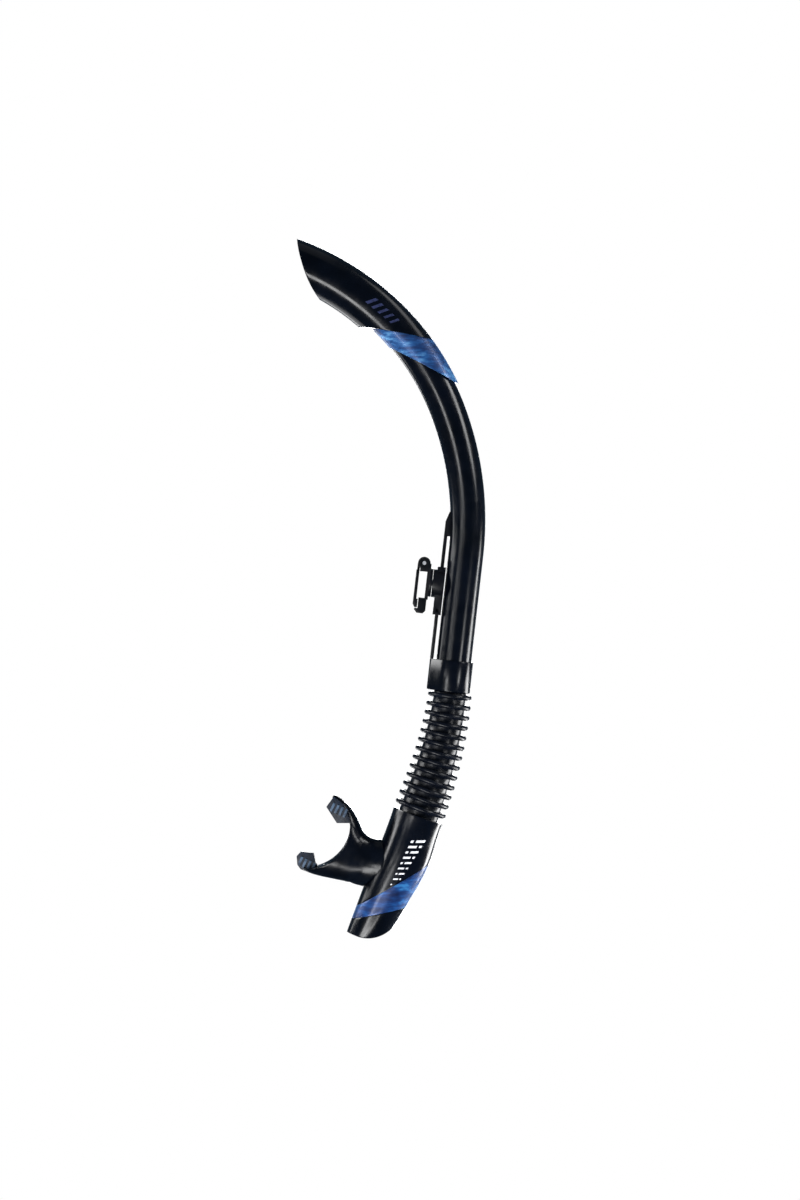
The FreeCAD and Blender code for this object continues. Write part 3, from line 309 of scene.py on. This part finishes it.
def mouth_silicone():
    """Smooth black silicone, glossier than the hose's."""
    finish = Finish("mouth_silicone", 0.2, ior=1.3)
    finish.colours(finish.noise(70.0, 3.0), (
        (0.35, (0.0008, 0.0013, 0.0028)), (0.7, (0.002, 0.0032, 0.0066))))
    finish.roughness(finish.noise(240.0, 3.0), 0.15, 0.26)
    return finish.bumps((finish.noise(60.0, 2.0), 0.0001, 0.05), (finish.noise(1500.0, 2.0), 0.00001, 0.03))


def slate_silicone():
    """The bite tabs' silicone, with a painted highlight on the grip ridges, which lie farthest from the
    middle plane.
    """
    finish = Finish("slate_silicone", 0.48, ior=1.42)
    split = finish.nodes.new("ShaderNodeSeparateXYZ")
    away = finish.nodes.new("ShaderNodeMath")
    away.operation = "ABSOLUTE"
    # Painted highlight: the colour grows paler towards the ridge tops, farthest from the middle plane.
    painted_ridge_highlight = finish.nodes.new("ShaderNodeMapRange")
    painted_ridge_highlight.inputs["From Min"].default_value = RIDGE_FOOT
    painted_ridge_highlight.inputs["From Max"].default_value = RIDGE_TOP
    painted_ridge_highlight.inputs["To Max"].default_value = RIDGE_HIGHLIGHT_LIFT
    grain_and_highlight = finish.nodes.new("ShaderNodeMath")
    finish.links.new(finish.place, split.inputs["Vector"])
    finish.links.new(split.outputs["Y"], away.inputs[0])
    finish.links.new(away.outputs["Value"], painted_ridge_highlight.inputs["Value"])
    finish.links.new(painted_ridge_highlight.outputs["Result"], grain_and_highlight.inputs[0])
    finish.links.new(finish.noise(260.0, 4.0), grain_and_highlight.inputs[1])
    # The ramp's two palest stops are reached only through the painted ridge highlight; the rest is random
    # grain.
    finish.colours(grain_and_highlight.outputs["Value"], (
        (0.3, (0.001, 0.003, 0.008)), (0.62, (0.004, 0.010, 0.024)),
        (0.80, (0.016, 0.034, 0.066)), (1.0, (0.060, 0.100, 0.160))))
    finish.roughness(finish.noise(600.0, 3.0), 0.4, 0.6)
    return finish.bumps((finish.noise(900.0, 3.0), 0.00008, 0.4))


def clear_silicone():
    """The purge flap's milky silicone."""
    finish = Finish("clear_silicone", 0.3, ior=1.41)
    finish.shader.inputs["Transmission Weight"].default_value = 0.6
    finish.colours(finish.noise(200.0, 2.0), ((0.3, (0.55, 0.58, 0.60)), (0.7, (0.68, 0.70, 0.72))))
    return finish.bumps((finish.noise(900.0, 2.0), 0.00003, 0.15))


def grey_acetal():
    """Low-friction grey plastic, for the pieces inside."""
    finish = Finish("grey_acetal", 0.4, ior=1.45)
    finish.colours(finish.noise(150.0, 3.0), ((0.3, (0.09, 0.095, 0.105)), (0.7, (0.14, 0.148, 0.16))))
    finish.roughness(finish.noise(500.0, 3.0), 0.32, 0.5)
    return finish.bumps((finish.noise(1500.0, 2.0), 0.00003, 0.2))


def turned_steel():
    """Dull turned steel, for the gate's pin and the rivet."""
    finish = Finish("turned_steel", 0.25, ior=1.5, metallic=1.0)
    finish.colours(finish.noise(400.0, 3.0), ((0.3, (0.48, 0.48, 0.50)), (0.7, (0.66, 0.66, 0.68))))
    finish.roughness(finish.noise(900.0, 4.0), 0.34, 0.56)
    return finish.bumps((finish.noise(2400.0, 2.0), 0.00001, 0.3))


def print_white():
    """White pad-printed ink, slightly worn."""
    finish = Finish("print_white", 0.45, ior=1.4)
    finish.colours(finish.noise(700.0, 4.0, 0.7), ((0.28, (0.30, 0.30, 0.33)), (0.5, (0.78, 0.79, 0.82))))
    return finish.bumps((finish.noise(1500.0, 2.0), 0.00002, 0.2))


def print_blue():
    """Dark violet-blue ink, hardly lighter than the black under it."""
    finish = Finish("print_blue", 0.4, ior=1.4)
    finish.colours(finish.noise(500.0, 4.0, 0.7), (
        (0.3, (0.010, 0.014, 0.040)), (0.7, (0.035, 0.045, 0.130))))
    return finish.bumps((finish.noise(1500.0, 2.0), 0.00002, 0.2))


FINISHES = {
    "black_plastic": gloss_black(), "satin_plastic": satin_black(), "black_silicone": mouth_silicone(),
    "slate_silicone": slate_silicone(), "clear_silicone": clear_silicone(),
    "grey_plastic": grey_acetal(), "steel": turned_steel()}
RING_BLUE = pearl_blue("pearl_blue_ring", -38.0)
BAND_BLUE = pearl_blue("pearl_blue_band", 24.0, (0.25, 0.56, 0.74))
HOSE_BLACK = hose_silicone()


def finish_of(node):
    """The node's material: its slot's, but for the two blue pieces."""
    if node == "upper_trim_ring":
        return RING_BLUE
    if node == "lower_trim_band":
        return BAND_BLUE
    return FINISHES[SLOT_OF[node]]


# ---- pieces made from the CAD shapes ----

WELD = 0.002 * MM            # vertices this close are one
SHARP_EDGE = 35.0            # degrees between faces from which an edge is rounded
MOULDED_SHADE = 50.0         # degrees from which an edge still shades as sharp
# Moulded pieces and the radius of their edges in mm.
MOULDINGS = {
    "lower_housing": 0.35, "lower_trim_band": 0.35, "purge_cover": 0.35, "splash_guard": 0.35,
    "upper_trim_ring": 0.35, "hose_collar": 0.5, "keeper_slider": 0.4, "strap_loop": 0.4,
    "strap_gate": 0.4, "keeper_rail": 0.4, "bite_tab_upper": 0.35, "bite_tab_lower": 0.35}


def dress_cad_nodes():
    """Every CAD node carries its material, whether it is shown or replaced."""
    for name, node in NODES.items():
        node.data.materials.clear()
        node.data.materials.append(finish_of(name))


def welded_copy(node, name):
    """A copy of a CAD node's mesh as one skin, without the seams at its sharp edges."""
    bm = bmesh.new()
    bm.from_mesh(NODES[node].data)
    bmesh.ops.remove_doubles(bm, verts=bm.verts, dist=WELD)
    bmesh.ops.dissolve_degenerate(bm, edges=bm.edges, dist=WELD)
    piece = mesh_object(name, bm)
    piece.data.materials.append(finish_of(node))
    return piece


def stand_for(piece, node):
    """The piece takes the CAD node's place and body."""
    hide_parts(node)
    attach(piece, BODY_OF[node])


def apply_modifiers(piece):
    """Puts the modifiers' result into the mesh."""
    evaluated = piece.evaluated_get(bpy.context.evaluated_depsgraph_get())
    result = bpy.data.meshes.new_from_object(evaluated)
    piece.modifiers.clear()
    piece.data = result


def shade(piece, sharp_angle):
    """Smooth shading, but for edges sharper than that many degrees."""
    piece.data.shade_smooth()
    piece.data.set_sharp_from_angle(angle=math.radians(sharp_angle))


def moulded(node, edge):
    """A moulding: the CAD shape with its sharp edges rounded, by a radius in mm."""
    piece = welded_copy(node, node + "_moulding")
    bevel = piece.modifiers.new("edge_round", "BEVEL")
    bevel.width = edge * MM
    bevel.segments = 3
    bevel.limit_method = "ANGLE"
    bevel.angle_limit = math.radians(SHARP_EDGE)
    bevel.use_clamp_overlap = True
    bevel.miter_outer = "MITER_ARC"
    apply_modifiers(piece)
    shade(piece, MOULDED_SHADE)
    stand_for(piece, node)


# ---- the silicone mouthpiece ----

# The mouth frame: z runs from the housing towards the diver's teeth, x up the mouthpiece.
MOUTH_TILT = math.radians(-65.2)
MOUTH = Matrix.Translation((-0.0281, 0.0, -0.1776)) @ Matrix.Rotation(MOUTH_TILT, 4, "Y")
# Sections of the skin that joins neck and shield: z, lower x, upper x, half depth, all in mm,
# and how squared the oval is (1 is an ellipse).
FAIRING = (
    (5.0, -18.0, 13.8, 11.3, 1.0), (8.0, -18.7, 12.9, 11.2, 0.92), (11.0, -19.3, 12.5, 11.2, 0.82),
    (14.0, -19.9, 12.8, 11.3, 0.73), (17.0, -20.5, 14.2, 11.6, 0.67), (20.0, -21.2, 16.8, 12.1, 0.64),
    (23.0, -21.9, 19.6, 12.7, 0.63), (26.0, -22.6, 22.0, 13.2, 0.65), (30.0, -23.5, 24.4, 13.8, 0.68),
    (34.0, -24.2, 26.0, 14.1, 0.72), (38.0, -24.6, 26.7, 14.3, 0.75), (42.0, -24.4, 26.8, 14.2, 0.75))
SCOOP = (3.0, 51.8, 28.0)        # x, z and radius of the bite's concave side
SCOOP_SIDES = 120
AIRWAY = (-4.4, 11.4, 6.9)       # x, half width and half height of the airway
PORT = (13.0, 8.5, 12.1)         # half width, half height and end of the room for the housing's port
ROOT_END = 9.0                   # the CAD shape is kept as far as this z
CLEAR = 60.0                     # half size of a cutter that has to reach past everything
SKIN_VOXEL = 0.45                # remesh size of the finished skin, mm
SKIN_PASSES = 12                 # smoothing passes after that
# Thicker stretches along the shield's arms, as (x, z, radius) points: the upper, then the lower.
ARM_ROPES = (
    ((12.0, 21.0, 2.8), (18.4, 27.0, 2.6), (22.8, 33.0, 2.3), (25.2, 38.5, 2.0), (25.9, 42.5, 1.6)),
    ((-18.0, 22.0, 3.0), (-20.6, 31.0, 2.4), (-22.6, 38.0, 2.0), (-23.3, 44.0, 1.3)))
ROPE_STEP = 0.2                  # distance between a rope's balls, as a share of their radius


def closed_loft(name, sections):
    """A closed body through rings of equal count, in the mouth frame's millimetres."""
    bm = bmesh.new()
    rings = [[bm.verts.new(MOUTH @ (Vector(point) * MM)) for point in ring] for ring in sections]
    for near, far in zip(rings, rings[1:]):
        for index in range(len(near)):
            following = (index + 1) % len(near)
            bm.faces.new((near[index], far[index], far[following], near[following]))
    bm.faces.new(rings[0])
    bm.faces.new(rings[-1])
    bmesh.ops.recalc_face_normals(bm, faces=bm.faces)
    return mesh_object(name, bm)


def oval_ring(z, low, high, depth, squareness, sides=72):
    """An oval across the mouthpiece at z, from x = low to high, slightly squared below 1."""
    ring = []
    for index in range(sides):
        angle = 2 * math.pi * index / sides
        along = math.copysign(abs(math.cos(angle)) ** squareness, math.cos(angle))
        across = math.copysign(abs(math.sin(angle)) ** squareness, math.sin(angle))
        ring.append(((low + high) / 2 + along * (high - low) / 2, across * depth, z))
    return ring


def scoop_ring(level):
    """The circle that the bite's concave side follows, at y = level."""
    x, z, radius = SCOOP
    turns = [math.tau * side / SCOOP_SIDES for side in range(SCOOP_SIDES)]
    return [(x + radius * math.cos(turn), level, z + radius * math.sin(turn)) for turn in turns]


def carve(piece, tool):
    """Cuts the tool out of the piece and drops the tool."""
    cutter = piece.modifiers.new("carve", "BOOLEAN")
    cutter.operation = "DIFFERENCE"
    cutter.object = tool
    apply_modifiers(piece)
    bpy.data.objects.remove(tool)


def add_rope(bm, rope):
    """Overlapping balls along a chain of (x, z, radius) points, for the remesh to join."""
    for (x, z, first), (next_x, next_z, last) in zip(rope, rope[1:]):
        start = Vector((x, 0.0, z))
        end = Vector((next_x, 0.0, next_z))
        count = max(2, int((end - start).length / (ROPE_STEP * min(first, last))))
        for step in range(count + 1):
            part = step / count
            spot = Matrix.Translation(MOUTH @ (start.lerp(end, part) * MM))
            radius = (first + (last - first) * part) * MM
            bmesh.ops.create_icosphere(bm, subdivisions=3, radius=radius, matrix=spot)


def build_mouthpiece():
    """The CAD shape's root, a skin that fairs neck into shield, and thicker arms, melted into one."""
    fairing = closed_loft("mouth_fairing", [oval_ring(*section) for section in FAIRING])
    carve(fairing, closed_loft("scoop", [scoop_ring(level) for level in (-CLEAR / 2, CLEAR / 2)]))
    middle, half, depth = AIRWAY
    airway = [oval_ring(level, middle - half, middle + half, depth, 1.0) for level in (0.0, CLEAR)]
    carve(fairing, closed_loft("airway", airway))
    port = [oval_ring(level, middle - PORT[0], middle + PORT[0], PORT[1], 1.0) for level in (0.0, PORT[2])]
    carve(fairing, closed_loft("port", port))
    piece = welded_copy("mouthpiece", "mouthpiece_skin")
    beyond = [oval_ring(level, -CLEAR, CLEAR, CLEAR, 1.0) for level in (ROOT_END, 1.5 * CLEAR)]
    carve(piece, closed_loft("beyond_root", beyond))
    bm = bmesh.new()
    bm.from_mesh(piece.data)
    bm.from_mesh(fairing.data)
    for rope in ARM_ROPES:
        add_rope(bm, rope)
    bm.to_mesh(piece.data)
    bm.free()
    bpy.data.objects.remove(fairing)
    remesh = piece.modifiers.new("skin", "REMESH")
    remesh.mode = "VOXEL"
    remesh.voxel_size = SKIN_VOXEL * MM
    smooth = piece.modifiers.new("melt", "SMOOTH")
    smooth.factor = 0.5
    smooth.iterations = SKIN_PASSES
    apply_modifiers(piece)
    shade(piece, 180.0)
    stand_for(piece, "mouthpiece")


# ---- swept tubes: the barrel and the hose ----

SIDES = 96
TUBE_SHADE = 60.0            # degrees from which an edge still shades as sharp


def swept_skin(name, place, profile):
    """A closed skin swept round a centre line: profile is a closed loop of (length, radius)."""
    bm = bmesh.new()
    rings = []
    for length, radius in profile:
        here = place(length)
        ring = []
        for side in range(SIDES):
            angle = 2 * math.pi * side / SIDES
            spot = Vector((radius * math.cos(angle), radius * math.sin(angle), 0.0))
            ring.append(bm.verts.new(here @ spot))
        rings.append(ring)
    for upper, lower in zip(rings, rings[1:] + rings[:1]):
        for side in range(SIDES):
            following = (side + 1) % SIDES
            bm.faces.new((upper[side], lower[side], lower[following], upper[following]))
    bmesh.ops.recalc_face_normals(bm, faces=bm.faces)
    return mesh_object(name, bm)


# ---- the barrel ----

LEG_TILT = math.radians(6.5)                     # lean of the barrel's straight leg
SHOULDER = Vector((25.8, 0.0, -50.5)) * MM       # barrel's shoulder, in the leaning frame
BARREL_RUN = 73.0 * MM                           # straight stretch above the shoulder
FIRST_BEND = 196.0 * MM                          # radius and sweep of the first bend
FIRST_SWEEP = math.radians(27.4)
CROWN_BEND = 165.6 * MM                          # and of the tighter one above it
CROWN_SWEEP = math.radians(33.0)
BARREL_RADIUS = 11.2 * MM
BARREL_BORE = 9.5 * MM
BARREL_EDGE = 0.4 * MM                           # chamfer of both ends
BARREL_STEPS = 110
SPIGOT_LENGTH = 14.0 * MM                        # the thinner end that goes into the hose
SPIGOT_BORE = 8.5 * MM
SPIGOT_RADIUS = 9.7 * MM


def barrel_place(length):
    """Matrix on the barrel's centre line, that far above the shoulder, z up the line."""
    start = Matrix.Rotation(LEG_TILT, 4, "Y") @ Matrix.Translation(SHOULDER)
    if length <= BARREL_RUN:
        return start @ Matrix.Translation((0.0, 0.0, length))
    turn = min((length - BARREL_RUN) / FIRST_BEND, FIRST_SWEEP)
    more = max(0.0, length - BARREL_RUN - FIRST_BEND * FIRST_SWEEP) / CROWN_BEND
    place = start @ Matrix.Translation((-FIRST_BEND, 0.0, BARREL_RUN))
    place = place @ Matrix.Rotation(-turn, 4, "Y")
    place = place @ Matrix.Translation((FIRST_BEND - CROWN_BEND, 0.0, 0.0))
    return place @ Matrix.Rotation(-more, 4, "Y") @ Matrix.Translation((CROWN_BEND, 0.0, 0.0))


def build_barrel():
    """The bent tube with its bore, chamfered ends and the spigot that takes the hose."""
    whole = BARREL_RUN + FIRST_BEND * FIRST_SWEEP + CROWN_BEND * CROWN_SWEEP
    between = [whole * step / BARREL_STEPS for step in range(1, BARREL_STEPS)]
    stations = [BARREL_EDGE] + between + [whole - BARREL_EDGE]
    outer = [(length, BARREL_RADIUS) for length in stations]
    inner = [(length, BARREL_BORE) for length in reversed(stations)]
    low_edge = (0.0, BARREL_RADIUS - BARREL_EDGE)
    high_edge = (whole, BARREL_RADIUS - BARREL_EDGE)
    spigot = [(0.0, SPIGOT_BORE), (-SPIGOT_LENGTH, SPIGOT_BORE),
              (-SPIGOT_LENGTH, SPIGOT_RADIUS), (0.0, SPIGOT_RADIUS)]
    barrel = swept_skin("barrel_tube", barrel_place, [low_edge] + outer + [high_edge] + inner + spigot)
    barrel.data.materials.append(finish_of("barrel"))
    shade(barrel, TUBE_SHADE)
    stand_for(barrel, "barrel")


# ---- the hose ----

HOUSING_TILT = math.radians(19.5)                # lean of the housing and the hose's lower end
HOSE_START = Vector((18.16, 0.0, -68.5)) * MM    # on the collar's lower end
HOSE_ARC = 63.5 * MM                             # bent length, then straight length
HOSE_RUN = 18.4 * MM
HOSE_WHOLE = HOSE_ARC + HOSE_RUN
HOSE_INSIDE = 14.0 * MM                          # length inside the housing
HOSE_CUFF = 15.4 * MM                            # length inside the collar
CUFF_RADIUS = 11.2 * MM
CUFF_BORE = 9.75 * MM
CUFF_STEP = (-0.4 * MM, 0.1 * MM)                # where the cuff narrows to the neck
NECK_RADIUS = 10.3 * MM
TAIL_GAP = 0.5 * MM                              # hose's lower end to the tail's full radius
TAIL_RADIUS = 12.8 * MM
TAIL_BORE = 10.95 * MM
CORE = (10.1, 12.8)                              # radii in mm at the hose's top and bottom
CROWN = (14.0, 17.1)
BORE = (8.6, 10.9)
RIB_COUNT = 13
RIB_FIRST = 2.8 * MM                             # collar to the middle of the first rib
RIB_PITCH = 6.2 * MM
RIB_BEAD = 1.6 * MM                              # radius of a rib's round crown
BEAD_REACH = 155.0                               # degrees of it each side of its outermost point
BEAD_STEPS = 14
ROOT_FILLET = ((0.95, 0.0), (0.35, 0.12), (0.05, 0.5))    # (reach along the core, rise), mm


def hose_place(length):
    """Matrix on the hose's centre line, that far below the collar, z pointing up the line."""
    along = min(max(length, 0.0), HOSE_ARC)
    turn = (HOUSING_TILT - LEG_TILT) / HOSE_ARC
    tilt = LEG_TILT + along * turn
    x = HOSE_START.x - (math.cos(LEG_TILT) - math.cos(tilt)) / turn
    z = HOSE_START.z - (math.sin(tilt) - math.sin(LEG_TILT)) / turn
    beyond = length - along
    spot = Vector((x - beyond * math.sin(tilt), 0.0, z - beyond * math.cos(tilt)))
    return Matrix.Translation(spot) @ Matrix.Rotation(tilt, 4, "Y")


def share(length, top, low):
    """A radius that tapers from top to low, in mm, down the hose."""
    part = min(max(length / HOSE_WHOLE, 0.0), 1.0)
    return (top + (low - top) * part) * MM


def hose_profile():
    """(length, outer radius) down the hose: round beads on thin webs, on a tapering core."""
    points = [(-HOSE_CUFF, CUFF_RADIUS), (CUFF_STEP[0], CUFF_RADIUS), (CUFF_STEP[1], NECK_RADIUS)]
    for index in range(RIB_COUNT):
        middle = RIB_FIRST + index * RIB_PITCH
        core = share(middle, *CORE)
        crown = share(middle, *CROWN)
        bead = []
        for step in range(BEAD_STEPS + 1):
            angle = math.radians(-BEAD_REACH + 2 * BEAD_REACH * step / BEAD_STEPS)
            height = crown - RIB_BEAD + RIB_BEAD * math.cos(angle)
            bead.append((middle + RIB_BEAD * math.sin(angle), height))
        neck = RIB_BEAD * math.sin(math.radians(BEAD_REACH))
        foot = [(middle - neck - reach * MM, core + rise * MM) for reach, rise in ROOT_FILLET]
        points += foot + bead + [(2 * middle - along, radius) for along, radius in reversed(foot)]
    points.append((HOSE_WHOLE + TAIL_GAP, TAIL_RADIUS))
    points.append((HOSE_WHOLE + HOSE_INSIDE, TAIL_RADIUS))
    return points


def build_hose():
    """The corrugated hose, which bends from the barrel to the swivel cuff."""
    between = [HOSE_WHOLE * part for part in (0.75, 0.5, 0.25)]
    bore = [(length, share(length, *BORE)) for length in between]
    inner = [(HOSE_WHOLE + HOSE_INSIDE, TAIL_BORE)] + bore + [(0.0, CUFF_BORE), (-HOSE_CUFF, CUFF_BORE)]
    hose = swept_skin("corrugated_hose", hose_place, hose_profile() + inner)
    hose.data.materials.append(HOSE_BLACK)
    shade(hose, TUBE_SHADE)
    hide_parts("flex_hose")
    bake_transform(hose)


# ---- generic print on the housing and the guard ----

INK_LIFT = 0.05              # how far the ink stands off the moulding, mm
INK_THICK = 0.06
INK_SHADE = 40.0
# Each print: its line from start to end as (x, z), the number of bars, the first and last bar's
# half length and thickness, all in mm, then the slant in radians and the pieces of a bar.
HOUSING_PRINT = ((-2.6, -163.4), (-17.8, -190.6), 9, (4.6, 2.2), (1.7, 0.9), 0.5, ((-1.0, 0.25), (0.6, 1.0)))
GUARD_PRINT = ((-31.9, 180.2), (-17.5, 167.5), 5, (3.6, 3.0), (2.2, 1.6), -0.5, ((-1.0, 1.0),))
BAR_STEPS = 6                # lengths along a bar, so that it follows the curve under it
IN_FRONT = cad_box[0].y - 1.0    # where the lines that find the surface start, as y


def bars(start, end, count, reach, thick, slant, pieces):
    """Slanted bars across a line from start to end: outlines in mm, shrinking as they go.

    Each bar is cut into pieces, given as shares of its half length, and every other one is turned.
    """
    start = Vector(start)
    end = Vector(end)
    along = (end - start).normalized()
    across = Vector((along.y, -along.x))
    outlines = []
    for index in range(count):
        part = index / (count - 1)
        middle = start.lerp(end, part)
        half = reach[0] + (reach[1] - reach[0]) * part
        width = thick[0] + (thick[1] - thick[0]) * part
        turned = 1 - 2 * (index % 2)
        run = (across * math.cos(slant) + along * math.sin(slant)) * half
        for first, last in pieces:
            spots = [first + (last - first) * step / BAR_STEPS for step in range(BAR_STEPS + 1)]
            edge = [middle + run * turned * spot for spot in spots]
            outlines.append([spot - along * width / 2 for spot in edge]
                            + [spot + along * width / 2 for spot in reversed(edge)])
    return outlines


def surface_print(name, node, strokes, material):
    """Thin ink on a node's near side: each stroke an outline of (x, z) points, in millimetres.

    A stroke that would hang over the node's edge is left out.
    """
    bm = bmesh.new()
    bm.from_mesh(NODES[node].data)
    tree = BVHTree.FromBMesh(bm)
    bm.free()
    ink = bmesh.new()
    for outline in strokes:
        starts = [Vector((x * MM, IN_FRONT, z * MM)) for x, z in outline]
        hits = [tree.ray_cast(start, Vector((0.0, 1.0, 0.0))) for start in starts]
        if any(hit[0] is None for hit in hits):
            continue
        corners = [ink.verts.new(hit[0] + hit[1] * INK_LIFT * MM) for hit in hits]
        half = len(corners) // 2
        for index in range(half - 1):
            ink.faces.new((corners[index], corners[index + 1], corners[-index - 2], corners[-index - 1]))
    bmesh.ops.recalc_face_normals(ink, faces=ink.faces)
    piece = mesh_object(name, ink)
    piece.data.materials.append(material)
    thick = piece.modifiers.new("ink", "SOLIDIFY")
    thick.thickness = INK_THICK * MM
    thick.offset = 0.0
    apply_modifiers(piece)
    shade(piece, INK_SHADE)
    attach(piece, BODY_OF[node])


# ---- the scene ----

add_camera()
add_world()
add_floor()
for strip_name, strip in STRIPS.items():
    add_strip(strip_name, *strip, PHOTO_CENTRE)
for strip_name, strip in MOUTH_STRIPS.items():
    add_strip(strip_name, *strip, MOUTH.translation)
bpy.context.scene.view_settings.view_transform = "Standard"

dress_cad_nodes()
for moulded_node, edge_radius in MOULDINGS.items():
    moulded(moulded_node, edge_radius)
build_mouthpiece()
build_barrel()
build_hose()
surface_print("housing_print", "lower_housing", bars(*HOUSING_PRINT), print_white())
surface_print("guard_print", "splash_guard", bars(*GUARD_PRINT), print_blue())
